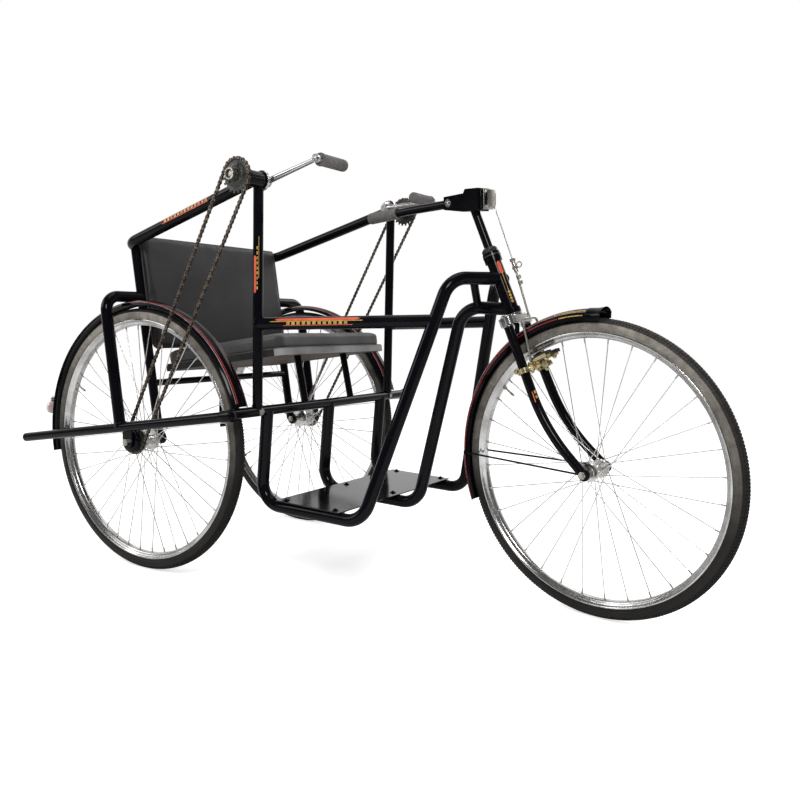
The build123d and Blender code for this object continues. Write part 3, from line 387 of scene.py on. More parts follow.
back_vinyl = finish_material(
    "backrest_vinyl", (0.021, 0.02, 0.0202), (0.0105, 0.01, 0.0103), 4.0, 0.42, 0.6,
    dust=0.25, dust_color=(0.058, 0.051, 0.045), grain=0.45, grain_scale=620.0, pits=0.7,
    shine=0.4)
band_vinyl = finish_material(
    "seat_band_vinyl", (0.3, 0.29, 0.285), (0.13, 0.127, 0.125), 5.0, 0.3, 0.5,
    dust=0.3, grain=0.3, grain_scale=620.0)
lining_red = finish_material(
    "lining_red", (0.34, 0.012, 0.016), (0.22, 0.01, 0.012), 30.0, 0.22, 0.4)
# Pale line on the mudguards beside the red lining: a painted highlight.
painted_highlight_white = finish_material(
    "painted_highlight_white", (0.52, 0.5, 0.48), (0.36, 0.34, 0.33), 30.0, 0.3, 0.45)
stripe_orange = finish_material(
    "stripe_orange", (0.74, 0.125, 0.06), (0.56, 0.085, 0.042), 40.0, 0.22, 0.4)
stripe_gold = finish_material(
    "stripe_gold", (0.56, 0.36, 0.085), (0.3, 0.17, 0.035), 80.0, 0.25, 0.45)
lens_white = finish_material(
    "reflector_white", (0.75, 0.62, 0.6), (0.66, 0.52, 0.5), 60.0, 0.12, 0.25,
    coat=0.6, grain=0.5, grain_scale=350.0, pits=1.0)
plywood = wood_material()

NODE_FINISH = {
    "frame_enamel": black_enamel, "footboard_enamel": board_enamel, "tyre_rubber": tyre_black,
    "rim_chrome": rim_chrome, "hub_steel": spoke_steel, "plated_steel": plated_steel,
    "chrome_parts": bright_chrome, "grip_rubber": grip_rubber, "dark_steel": dark_steel,
    "chain_steel": chain_steel, "pad_rubber": pad_rubber, "brass_clips": clip_brass,
    "seat_vinyl": seat_vinyl, "back_vinyl": back_vinyl, "seat_plywood": plywood,
}


def dress_nodes():
    """Gives each CAD node the finish of its material slot."""
    slots = {row["node"]: row["material_slot"] for row in frame["record"]["subparts"]}
    for name, node in frame["nodes"].items():
        material = NODE_FINISH[slots[name]]
        if not node.material_slots:
            node.data.materials.append(material)
        for slot in node.material_slots:
            slot.material = material


# Mesh helpers
def piece(bm, name, body, materials, angle=35.0):
    """Turns a bmesh into a finished piece that rides on a body."""
    bmesh.ops.recalc_face_normals(bm, faces=bm.faces)
    mesh = bpy.data.meshes.new(name)
    bm.to_mesh(mesh)
    bm.free()
    for material in materials:
        mesh.materials.append(material)
    made = bpy.data.objects.new(name, mesh)
    bpy.context.scene.collection.objects.link(made)
    mesh.shade_smooth()
    mesh.set_sharp_from_angle(angle=math.radians(angle))
    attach(made, body)
    return made


def toward(origin, direction):
    """Matrix that puts local Z along a direction, at a place."""
    turn = direction.normalized().to_track_quat("Z", "Y").to_matrix().to_4x4()
    return Matrix.Translation(origin) @ turn


def bevelled(bm, edges, offset, segments):
    """Bevels edges of a closed form and gives the operator's result."""
    return bmesh.ops.bevel(bm, geom=edges, offset=offset, offset_type="OFFSET", segments=segments,
                           profile=0.5, affect="EDGES", material=-1)


def put(bm, place):
    """Moves all that the mesh holds."""
    bmesh.ops.transform(bm, matrix=place, verts=bm.verts)


def upright_edges(bm):
    return [e for e in bm.edges if abs((e.verts[0].co - e.verts[1].co).normalized().z) > 0.9]


def sized_cube(bm, size):
    made = bmesh.ops.create_cube(bm, size=1.0)
    bmesh.ops.scale(bm, vec=size, verts=made["verts"])
    return made["verts"]


def bar(bm, sides, radius, depth, place):
    """Closed round or faceted bar about local Z, put in place."""
    made = bmesh.ops.create_cone(bm, cap_ends=True, segments=sides, radius1=radius, radius2=radius,
                                 depth=depth)
    bmesh.ops.transform(bm, matrix=place, verts=made["verts"])
    return made["verts"]


def faces_of(verts):
    return {face for vert in verts for face in vert.link_faces}


def round_profile(radius, bead, sides, height=0.0, overlap=1):
    """Small circle as a profile to spin; it closes on itself unless overlap is 0."""
    angles = [2 * math.pi * step / sides for step in range(sides + overlap)]
    return [(radius + bead * math.cos(angle), height + bead * math.sin(angle)) for angle in angles]


def lathe(bm, profile, place, steps=32, arc=2 * math.pi, closed=False, material=0):
    """Spins a profile of (radius, height) points about local Z and puts the result in place."""
    verts = [bm.verts.new((radius, 0, height)) for radius, height in profile]
    edges = [bm.edges.new(pair) for pair in zip(verts, verts[1:])]
    if closed:
        edges.append(bm.edges.new((verts[-1], verts[0])))
    full = abs(arc - 2 * math.pi) < 0.001
    bmesh.ops.spin(bm, geom=verts + edges, axis=(0, 0, 1), cent=(0, 0, 0), angle=arc, steps=steps,
                   use_merge=full, use_duplicate=False)
    spun = set(verts)
    pending = list(verts)
    while pending:
        for edge in pending.pop().link_edges:
            for vert in edge.verts:
                if vert not in spun:
                    spun.add(vert)
                    pending.append(vert)
    spun = list(spun)
    bmesh.ops.remove_doubles(bm, verts=spun, dist=0.00001)
    spun = [vert for vert in spun if vert.is_valid]
    for face in faces_of(spun):
        face.material_index = material
    bmesh.ops.transform(bm, matrix=place, verts=spun)


def rod(bm, start, end, radius, sides=12):
    """Straight round bar with closed ends."""
    bar(bm, sides, radius, (end - start).length, toward((start + end) / 2, end - start))


def block(bm, size, place, bevel=0.0, material=0):
    """Rectangular block with bevelled edges."""
    verts = sized_cube(bm, size)
    if bevel:
        edges = list({edge for vert in verts for edge in vert.link_edges})
        result = bevelled(bm, edges, bevel, 2)
        made = {vert for face in result["faces"] for vert in face.verts}
        verts = list(made | {vert for vert in verts if vert.is_valid})
    for face in faces_of(verts):
        face.material_index = material
    bmesh.ops.transform(bm, matrix=place, verts=verts)


def repeat(bm, count):
    """Repeats all that the mesh holds round local Z, evenly spaced over the full turn."""
    bmesh.ops.spin(bm, geom=bm.verts[:] + bm.edges[:] + bm.faces[:], axis=(0, 0, 1), cent=(0, 0, 0),
                   angle=2 * math.pi * (count - 1) / count, steps=count - 1, use_duplicate=True)


def close_ends(bm):
    """Closes the open ends of a swept form."""
    bmesh.ops.holes_fill(bm, edges=[edge for edge in bm.edges if edge.is_boundary], sides=0)


def bolt(bm, origin, direction, across, height, washer=0.0, material=0):
    """Hexagon head with the domed tip of its shank and, if its radius is given, a washer."""
    place = toward(origin, direction)
    if washer:
        lathe(bm, [(0.0, 0.0), (washer, 0.0), (washer, 0.0012), (0.0, 0.0012)], place, 20, material=material)
    head = bar(bm, 6, across, height, place @ shifted(0, 0, height / 2))
    bevelled(bm, list({edge for vert in head for edge in vert.link_edges}), across * 0.1, 1)
    tip = across * 0.52
    lathe(bm, [(tip, height * 0.6), (tip, height * 1.35), (tip * 0.8, height * 1.5), (0.0, height * 1.52)],
          place, 12, material=material)


add_camera()
dress_nodes()

SIDES = (("right", -1), ("left", 1))
RIGHT_HUB = at(0, -HALF_TRACK, WHEEL_RADIUS)
LEFT_HUB = at(0, HALF_TRACK, WHEEL_RADIUS)
FRONT_HUB = at(WHEELBASE, 0, WHEEL_RADIUS)
WHEELS = [("right", RIGHT_HUB, STRAIGHT, "rear_wheel_right"), ("left", LEFT_HUB, STRAIGHT, "rear_wheel_left"),
          ("front", FRONT_HUB, steer_turn, "front_wheel")]
SPOKES = {"right": 40, "left": 40, "front": 32}
VALVE_ANGLES = {"right": 3.58, "left": 2.6, "front": 3.75}
TREAD_ROWS = 280


def wheel_place(hub, turn):
    """Matrix from a wheel's own axes, with its axle on local Z, to the tricycle."""
    return turn @ Matrix.Translation(hub) @ turned(-90, "X")


def make_tyres():
    """Tyres: ribbed walls, pale at the top with painted light from above, a dark crown and fine raised tread
    blocks in five rows.
    """
    body_half = TYRE_HALF - 0.0002
    crown_half = body_half - 0.0013
    for name, hub, turn, body in WHEELS:
        bm = bmesh.new()
        for angle_deg, length, width, skew in ((0, 0.0048, 0.0056, 24), (23, 0.0048, 0.005, -28),
                                               (-23, 0.0048, 0.005, 28), (49, 0.0034, 0.0074, 0),
                                               (-49, 0.0034, 0.0074, 0)):
            local = (shifted(RING_RADIUS, 0, 0) @ turned(-angle_deg, "Y")
                     @ shifted(TYRE_HALF - 0.0009, 0, 0) @ turned(skew, "X"))
            block(bm, (0.0016, length, width), local)
        repeat(bm, TREAD_ROWS)
        for face in bm.faces:
            face.material_index = 1
        place = wheel_place(hub, turn)
        put(bm, place)
        crown = []
        for step in range(11):
            angle = math.radians(-58 + 116 * step / 10)
            crown.append((RING_RADIUS + crown_half * math.cos(angle), crown_half * math.sin(angle)))
        lathe(bm, crown, place, WHEEL_STEPS, material=1)
        for side in (-1, 1):
            wall = []
            for angle_deg, swell in ((58, -0.0013), (62, 0.0), (70, 0.0), (80, 0.0), (90, 0.0), (99, 0.0),
                                     (101, 0.0005), (104, 0.0005), (106, 0.0), (113, 0.0), (115, 0.0006),
                                     (119, 0.0006), (121, -0.0002), (132, -0.0002)):
                angle = math.radians(angle_deg)
                radius = body_half + swell
                wall.append((RING_RADIUS + radius * math.cos(angle), side * radius * math.sin(angle)))
            lathe(bm, wall, place, WHEEL_STEPS)
        edge_angle = math.radians(132)
        edge_radius = RING_RADIUS + (body_half - 0.0002) * math.cos(edge_angle)
        edge_half = (body_half - 0.0002) * math.sin(edge_angle)
        bead = [(edge_radius, edge_half), (RIM_OUTER + 0.001, 0.0125), (RIM_OUTER + 0.001, -0.0125),
                (edge_radius, -edge_half)]
        lathe(bm, bead, place, WHEEL_STEPS)
        tyre = piece(bm, f"treaded_tyre_{name}", body, [tyre_wall, tyre_black], angle=40)
        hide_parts(f"tyre_{name}")


def make_rims():
    """Rolled rims with spoke nipples and a valve on each."""
    for name, hub, turn, body in WHEELS:
        bm = bmesh.new()
        place = wheel_place(hub, turn)
        half = [(RIM_INNER + 0.0006, 0.0), (RIM_INNER + 0.0006, 0.0046), (RIM_INNER + 0.002, 0.0078),
                (RIM_INNER + 0.005, 0.0098), (RIM_INNER + 0.008, 0.0106), (RIM_INNER + 0.0104, 0.0128),
                (RIM_OUTER + 0.0002, 0.0154), (RIM_OUTER + 0.0018, 0.0166), (RIM_OUTER + 0.0036, 0.0166),
                (RIM_OUTER + 0.0046, 0.0156), (RIM_OUTER + 0.0044, 0.014), (RIM_OUTER + 0.002, 0.0126),
                (RIM_OUTER, 0.0)]
        profile = half + [(radius, -height) for radius, height in reversed(half[1:-1])]
        lathe(bm, profile, place, WHEEL_STEPS, closed=True)
        rim = piece(bm, f"rolled_rim_{name}", body, [rim_chrome], angle=50)
        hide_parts(f"rim_{name}")
        bm = bmesh.new()
        per_side = SPOKES[name] // 2
        profile = [(0.0, RIM_INNER - 0.0115), (0.0013, RIM_INNER - 0.0115), (0.0016, RIM_INNER - 0.01),
                   (0.0019, RIM_INNER - 0.001), (0.003, RIM_INNER + 0.0002), (0.0026, RIM_INNER + 0.001)]
        for side in (-1, 1):
            local = Matrix.Rotation(-side / 4 * 2 * math.pi / per_side, 4, "Z")
            lathe(bm, profile, local @ turned(90, "Y"), 8)
        repeat(bm, per_side)
        put(bm, place)
        local = Matrix.Rotation(VALVE_ANGLES[name], 4, "Z") @ turned(90, "Y")
        profile = [(0.0, RIM_INNER - 0.034), (0.0022, RIM_INNER - 0.034), (0.003, RIM_INNER - 0.031),
                   (0.003, RIM_INNER - 0.022), (0.0024, RIM_INNER - 0.021), (0.0024, RIM_INNER - 0.006),
                   (0.005, RIM_INNER - 0.005), (0.005, RIM_INNER - 0.001), (0.0034, RIM_INNER + 0.001)]
        lathe(bm, profile, place @ local, 12)
        piece(bm, f"nipples_and_valve_{name}", body, [plated_steel])


make_tyres()
make_rims()


# Roller chain: plates and rollers along the belt line round both sprockets
def chain_line():
    """Length of the belt line and a function that gives a point along it, as (x, z)."""
    cog = Vector((0.0, WHEEL_RADIUS))
    wheel = Vector((CRANK_X, CRANK_Z))
    gap = wheel - cog
    run_angle = math.atan2(gap.y, gap.x)
    wrap = math.acos((COG_RADIUS - CHAINWHEEL_RADIUS) / gap.length)
    run = math.sqrt(gap.length ** 2 - (CHAINWHEEL_RADIUS - COG_RADIUS) ** 2)
    wheel_wrap = CHAINWHEEL_RADIUS * 2 * wrap
    cog_wrap = COG_RADIUS * 2 * (math.pi - wrap)
    total = 2 * run + wheel_wrap + cog_wrap

    def spot(distance):
        distance = distance % total
        if distance < run:
            center, radius, angle, advance = cog, COG_RADIUS, run_angle - wrap, distance
        elif distance < run + wheel_wrap:
            angle = run_angle - wrap + (distance - run) / CHAINWHEEL_RADIUS
            center, radius, advance = wheel, CHAINWHEEL_RADIUS, 0.0
        elif distance < 2 * run + wheel_wrap:
            center, radius, angle = wheel, CHAINWHEEL_RADIUS, run_angle + wrap
            advance = distance - run - wheel_wrap
        else:
            angle = run_angle + wrap + (distance - 2 * run - wheel_wrap) / COG_RADIUS
            center, radius, advance = cog, COG_RADIUS, 0.0
        out = Vector((math.cos(angle), math.sin(angle)))
        along = Vector((-out.y, out.x))
        return center + out * radius + along * advance

    return total, spot


def make_chains():
    """Lays every link's plates, roller and pin along the belt line."""
    total, spot = chain_line()
    pitch = total / CHAIN_LINKS
    for name, side in SIDES:
        bm = bmesh.new()
        for index in range(CHAIN_LINKS):
            start = spot(index * pitch)
            end = spot((index + 1) * pitch)
            middle = (start + end) / 2
            angle = math.atan2(end.y - start.y, end.x - start.x)
            reach = (end - start).length
            outer = index % 2 == 0
            layer = 0.0033 if outer else 0.0024
            place = (moved(middle.x, side * CHAIN_Y, middle.y) @ Matrix.Rotation(-angle, 4, "Y")
                     @ turned(90, "X"))
            for face_side in (-1, 1):
                flat = place @ shifted(0, 0, face_side * layer)
                plate_verts = []
                for end_side in (-1, 1):
                    shift = shifted(end_side * reach / 2, 0, face_side * layer)
                    plate_verts += bar(bm, 8, 0.0041, 0.0009, place @ shift)
                web = sized_cube(bm, (reach, 0.0052, 0.0009))
                bmesh.ops.transform(bm, matrix=flat, verts=web)
                if outer:
                    for face in faces_of(plate_verts + web):
                        face.material_index = 1
            pin = place @ shifted(-reach / 2, 0, 0)
            bar(bm, 8, 0.0038, 0.0042, pin)
            bar(bm, 6, 0.0016, 0.0085, pin)
        chain = piece(bm, f"roller_chain_{name}", "frame", [chain_steel, chain_plate], 30)
        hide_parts(f"chain_{name}")


make_chains()


# Ribbed rubber grips on the crank pins and on the tiller
def make_grips():
    for name, side in SIDES:
        pin_x = CRANK_X + CRANK_REACH * math.cos(CRANK_ANGLES[name])
        pin_z = CRANK_Z + CRANK_REACH * math.sin(CRANK_ANGLES[name])
        inward = Vector((0, -side, 0))
        bm = bmesh.new()
        profile = [(0.006, 0.0), (0.0155, 0.0), (0.0162, 0.002), (0.0162, 0.006), (0.015, 0.008)]
        for ring in range(14):
            base = 0.01 + ring * 0.0058
            profile += [(0.0142, base), (0.015, base + 0.0012), (0.015, base + 0.0034),
                        (0.0142, base + 0.0046)]
        profile += [(0.015, 0.0925), (0.0148, 0.096), (0.0138, 0.0985), (0.0115, 0.1), (0.0, 0.1)]
        lathe(bm, profile, toward(at(pin_x, side * 0.26, pin_z), inward), 28)
        grip = piece(bm, f"ribbed_grip_{name}", f"crank_drive_{name}", [grip_rubber], angle=50)
        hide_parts(f"handle_{name}")
        bm = bmesh.new()
        lathe(bm, [(0.0047, 0.0), (0.0092, 0.0), (0.0098, 0.0012), (0.0098, 0.0028), (0.007, 0.0038),
                   (0.0047, 0.0038)], toward(at(pin_x, side * 0.264, pin_z), inward), 24)
        bolt(bm, at(pin_x, side * 0.276, pin_z), -inward, 0.0078, 0.0045, 0.0105)
        piece(bm, f"grip_collar_{name}", f"crank_drive_{name}", [bright_chrome])
    start = at(0.454, 0, 0.968)
    bend = at(0.592, 0, 0.981)
    direction = (bend - start).normalized()
    start = start - direction * 0.006
    bm = bmesh.new()
    profile = [(0.0, 0.0), (0.0115, 0.0), (0.0145, 0.0015), (0.0155, 0.005)]
    for ring in range(14):
        base = 0.007 + ring * 0.006
        profile += [(0.0155, base), (0.0155, base + 0.0032), (0.0144, base + 0.0042), (0.0144, base + 0.005)]
    profile += [(0.0155, 0.0925), (0.016, 0.094), (0.016, 0.102), (0.015, 0.104), (0.0112, 0.104)]
    lathe(bm, profile, steer_turn @ toward(start, direction), 28)
    grip = piece(bm, "ribbed_tiller_grip", "steering", [grip_rubber], angle=50)
    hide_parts("tiller_grip")


make_grips()


# Soft seat: a vinyl cushion that swells over its board, with a welt and a pale front band
SEAT_SLOPE = math.atan2(0.065, 0.428)
seat_origin = at(-0.036, 0, 0.535)
seat_place = Matrix.Translation(seat_origin) @ Matrix.Rotation(-SEAT_SLOPE, 4, "Y")
SEAT_LENGTH = 0.4329


def swollen(pad, cap, pressure):
    """Swells a closed form with the cloth solver, keeping every point within a cap of its start."""
    mesh = pad.data
    start = [vert.co.copy() for vert in mesh.vertices]
    cloth = pad.modifiers.new("swell", "CLOTH")
    settings = cloth.settings
    settings.quality = 6
    settings.use_pressure = True
    settings.uniform_pressure_force = pressure
    settings.effector_weights.gravity = 0.0
    settings.tension_stiffness = 25
    settings.compression_stiffness = 25
    settings.bending_stiffness = 4
    cloth.collision_settings.use_collision = False
    scene = bpy.context.scene
    for number in range(1, 21):
        scene.frame_set(number)
    depsgraph = bpy.context.evaluated_depsgraph_get()
    swelled = [vert.co.copy() for vert in pad.evaluated_get(depsgraph).data.vertices]
    pad.modifiers.remove(cloth)
    for vert, old, new in zip(mesh.vertices, start, swelled):
        step = new - old
        if step.length > cap:
            step = step.normalized() * cap
        vert.co = old + step
    scene.frame_set(1)


def pad_form(name, size, corner, voxel, place, edge):
    """Closed rounded block, remeshed evenly and ready to swell."""
    bm = bmesh.new()
    sized_cube(bm, size)
    bevelled(bm, upright_edges(bm), corner, 5)
    flat = [e for e in bm.edges if abs((e.verts[0].co - e.verts[1].co).normalized().z) < 0.1
            and len(e.link_faces) == 2 and e.calc_face_angle(0) > 1.0]
    bevelled(bm, flat, edge, 3)
    put(bm, place)
    mesh = bpy.data.meshes.new(name)
    bm.to_mesh(mesh)
    bm.free()
    made = bpy.data.objects.new(name, mesh)
    bpy.context.scene.collection.objects.link(made)
    remesh = made.modifiers.new("even", "REMESH")
    remesh.mode = "VOXEL"
    remesh.voxel_size = voxel
    depsgraph = bpy.context.evaluated_depsgraph_get()
    even = bpy.data.meshes.new_from_object(made.evaluated_get(depsgraph))
    made.modifiers.clear()
    made.data = even
    return made


def held(value, low, high):
    return min(max(value, low), high)


def soften(bm):
    """Evens out small bumps left by the swelling."""
    bmesh.ops.smooth_vert(bm, verts=bm.verts, factor=0.4, use_axis_x=True, use_axis_y=True, use_axis_z=True)


def finish_pad(pad, bm, place, material):
    """Puts a swollen pad in place, with its material."""
    put(bm, place)
    bm.to_mesh(pad.data)
    bm.free()
    pad.data.materials.clear()
    pad.data.materials.append(material)
    pad.data.shade_smooth()


def make_seat():
    center = shifted(SEAT_LENGTH / 2, 0, 0.016 + 0.019)
    cushion = pad_form("seat_pad", (SEAT_LENGTH - 0.012, 0.468, 0.037), 0.018, 0.006, center, 0.006)
    swollen(cushion, 0.005, 2.2)
    floor_height = 0.0163
    bm = bmesh.new()
    bm.from_mesh(cushion.data)
    for vert in bm.verts:
        if vert.co.z < floor_height + 0.002:
            vert.co.z = floor_height
    soften(bm)
    for vert in bm.verts:
        vert.co.z = max(vert.co.z, floor_height)
        vert.co.x = held(vert.co.x, -0.004, SEAT_LENGTH + 0.004)
        vert.co.y = held(vert.co.y, -0.244, 0.244)
    finish_pad(cushion, bm, seat_place, seat_vinyl)
    smooth = cushion.modifiers.new("soft", "SUBSURF")
    smooth.levels = 1
    smooth.render_levels = 1
    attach(cushion, "frame")
    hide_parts("seat_cushion")


def outline_ring(bm, half_x, half_y, corner, height, radius, place):
    """Round cord laid along a rounded rectangle."""
    segments = 6
    path = []
    for quarter, (sx, sy) in enumerate(((1, 1), (-1, 1), (-1, -1), (1, -1))):
        for step in range(segments + 1):
            angle = math.radians(90 * quarter + 90 * step / segments)
            path.append(Vector((sx * (half_x - corner) + corner * math.cos(angle),
                                sy * (half_y - corner) + corner * math.sin(angle), height)))
    curve = bpy.data.curves.new("ring", "CURVE")
    curve.dimensions = "3D"
    curve.bevel_depth = radius
    curve.bevel_resolution = 2
    spline = curve.splines.new("POLY")
    spline.points.add(len(path) - 1)
    for point, co in zip(spline.points, path):
        point.co = (*co, 1)
    spline.use_cyclic_u = True
    holder = bpy.data.objects.new("ring", curve)
    mesh = bpy.data.meshes.new_from_object(holder)
    mesh.transform(place)
    bm.from_mesh(mesh)
    bpy.data.objects.remove(holder)
    bpy.data.meshes.remove(mesh)


def make_seat_trim():
    """Welt round the cushion's foot, and vinyl drawn down over the board's edges: pale grey at the front,
    black on the sides and back as painted shade.
    """
    bm = bmesh.new()
    outline_ring(bm, SEAT_LENGTH / 2 - 0.002, 0.2385, 0.022, 0.0175, 0.0022,
                 seat_place @ shifted(SEAT_LENGTH / 2, 0, 0))
    piece(bm, "seat_welt", "frame", [seat_vinyl], angle=60)
    bm = bmesh.new()
    sized_cube(bm, (SEAT_LENGTH + 0.0012, 0.4812, 0.0176))
    bevelled(bm, upright_edges(bm), 0.0225, 6)
    bmesh.ops.delete(bm, geom=[f for f in bm.faces if abs(f.normal.z) > 0.9], context="FACES")
    bmesh.ops.solidify(bm, geom=bm.faces[:], thickness=-0.0012)
    # Front faces take the pale band vinyl; the sides and back take black rubber, a painted shade.
    for face in bm.faces:
        face.material_index = 0 if face.calc_center_median().x > SEAT_LENGTH / 2 - 0.02 else 1
    middle = shifted(SEAT_LENGTH / 2, 0, 0.008)
    put(bm, seat_place @ middle)
    lip = shifted(SEAT_LENGTH + 0.002, 0, 0.0004)
    block(bm, (0.003, 0.436, 0.003), seat_place @ lip, 0.0012)
    piece(bm, "seat_edge_band", "frame", [band_vinyl, pad_rubber])


make_seat()
make_seat_trim()

# Backrest: vinyl drawn over a board, slightly padded, with a welt round its edge
LEG_TOP_X = -0.1
LEG_TOP_Z = 0.883
LEG_FOOT_X = -0.008
LEG_Y = 0.284
BACK_BOTTOM = 0.596
BACK_TOP = 0.908
BACK_WIDTH = 0.552
LEG_LEAN = math.atan2(LEG_FOOT_X - LEG_TOP_X, LEG_TOP_Z - WHEEL_RADIUS)
BACK_HEIGHT = (BACK_TOP - BACK_BOTTOM) / math.cos(LEG_LEAN)
back_normal = Vector((math.cos(LEG_LEAN), 0, math.sin(LEG_LEAN)))
back_up = Vector((-math.sin(LEG_LEAN), 0, math.cos(LEG_LEAN)))


def leg_x(height):
    """Distance of the back leg's centre line ahead of the rear axle."""
    return LEG_TOP_X + (height - LEG_TOP_Z) * (LEG_FOOT_X - LEG_TOP_X) / (WHEEL_RADIUS - LEG_TOP_Z)


back_stand_off = math.sqrt(TUBE_RADIUS ** 2 - (LEG_Y - BACK_WIDTH / 2) ** 2) + 0.0003
back_foot = at(leg_x(BACK_BOTTOM), 0, BACK_BOTTOM) + back_normal * back_stand_off
back_place = Matrix.Translation(back_foot) @ Matrix((ACROSS, back_up, back_normal)).transposed().to_4x4()


def make_backrest():
    center = shifted(0, BACK_HEIGHT / 2, 0.008)
    pad = pad_form("back_pad", (BACK_WIDTH + 0.01, BACK_HEIGHT + 0.002, 0.0125), 0.014, 0.005, center, 0.004)
    swollen(pad, 0.004, 2.0)
    bm = bmesh.new()
    bm.from_mesh(pad.data)
    for vert in bm.verts:
        vert.co.z = held(vert.co.z, 0.0004, 0.0185)
        vert.co.x = held(vert.co.x, -BACK_WIDTH / 2 - 0.008, BACK_WIDTH / 2 + 0.008)
        vert.co.y = held(vert.co.y, 0.0, BACK_HEIGHT)
    soften(bm)
    finish_pad(pad, bm, back_place, back_vinyl)
    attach(pad, "frame")
    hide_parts("backrest")
    bm = bmesh.new()
    outline_ring(bm, BACK_WIDTH / 2 + 0.0048, BACK_HEIGHT / 2 - 0.0032, 0.014, 0.008, 0.0022,
                 back_place @ shifted(0, BACK_HEIGHT / 2, 0))
    piece(bm, "backrest_welt", "frame", [back_vinyl], angle=60)


make_backrest()


# Lining on the mudguards: fine red lines that follow the crown near both edges, each with a pale painted
# highlight line just outside it
def guard_height(offset, width):
    """Radius of the crowned mudguard at a sideways offset."""
    half = width / 2
    bow = (half * half + GUARD_CROWN * GUARD_CROWN) / (2 * GUARD_CROWN)
    return GUARD_RADIUS - bow + math.sqrt(bow * bow - offset * offset)


GUARDS = [("right", RIGHT_HUB, STRAIGHT, "frame", 18.0, 190.0, 0.054),
          ("left", LEFT_HUB, STRAIGHT, "frame", 18.0, 190.0, 0.054),
          ("front", FRONT_HUB, steer_turn, "steering", 88.0, 200.0, 0.048)]


def make_lining():
    for name, hub, turn, body, start, end, width in GUARDS:
        bm = bmesh.new()
        base = turn @ Matrix.Translation(hub) @ turned(90, "X")
        begin = turned(start + 1.5)
        arc = math.radians(end - start - 3.0)
        for side in (-1, 1):
            # The second, pale strip on each side is a painted highlight along the guard's edge.
            for low, high, index in ((0.014, 0.0166, 0), (0.0186, 0.0194, 1)):
                profile = []
                for step in range(3):
                    offset = side * (low + (high - low) * step / 2)
                    profile.append((guard_height(offset, width) + 0.00025, offset))
                lathe(bm, profile, base @ begin, 90, arc=arc, material=index)
        piece(bm, f"guard_lining_and_highlight_{name}", body, [lining_red, painted_highlight_white], angle=60)
        bm = bmesh.new()
        for side in (-1, 1):
            ring = round_profile(GUARD_RADIUS - GUARD_CROWN, 0.0014, 6, side * (width / 2 - 0.0008))
            lathe(bm, ring, base @ turned(start), 90, arc=math.radians(end - start))
        piece(bm, f"guard_beads_{name}", body, [black_enamel], angle=60)


make_lining()


# Plain stripe bands on the tubes
def band(bm, start, end, radius, facing, half_angle, slope=0.0, material=0):
    """Thin strip round part of a tube, its ends cut to points."""
    axis = (end - start).normalized()
    side = (facing - axis * facing.dot(axis)).normalized()
    place = Matrix((side, axis.cross(side), axis)).transposed().to_4x4()
    length = (end - start).length
    strip = bmesh.new()
    arc = math.radians(2 * half_angle)
    begin = Matrix.Rotation(-arc / 2, 4, "Z")
    lathe(strip, [(radius, 0.0), (radius, length)], begin, 10, arc=arc, material=material)
    if slope:
        for tilt in (-slope, slope):
            for height, way in ((0.0, -1), (length, 1)):
                whole = strip.verts[:] + strip.edges[:] + strip.faces[:]
                bmesh.ops.bisect_plane(strip, geom=whole, dist=0.000001, plane_co=(radius, 0, height),
                                       plane_no=(0, tilt, way), clear_outer=True)
    put(strip, Matrix.Translation(start) @ place)
    mesh = bpy.data.meshes.new("strip")
    strip.to_mesh(mesh)
    strip.free()
    bm.from_mesh(mesh)
    bpy.data.meshes.remove(mesh)


def tick_row(bm, start, end, radius, facing, half_angle, count, material=0):
    """Row of short even ticks along a tube."""
    for index in range(count):
        first = start.lerp(end, index / count)
        last = start.lerp(end, (index + 0.62) / count)
        band(bm, first, last, radius, facing, half_angle, material=material)


def stripe(bm, start, end, radius, facing, half_angle, slope, ticks, material):
    """Row of ticks where their count is given, or else a strip with pointed ends."""
    if ticks:
        tick_row(bm, start, end, radius, facing, half_angle, ticks, material)
    else:
        band(bm, start, end, radius, facing, half_angle, slope, material)


RAIL_STRIPE = 0.0159 + 0.0002
ARM_STRIPE = 0.0152
POST_STRIPE = 0.0129
HEAD_STRIPE = 0.0182


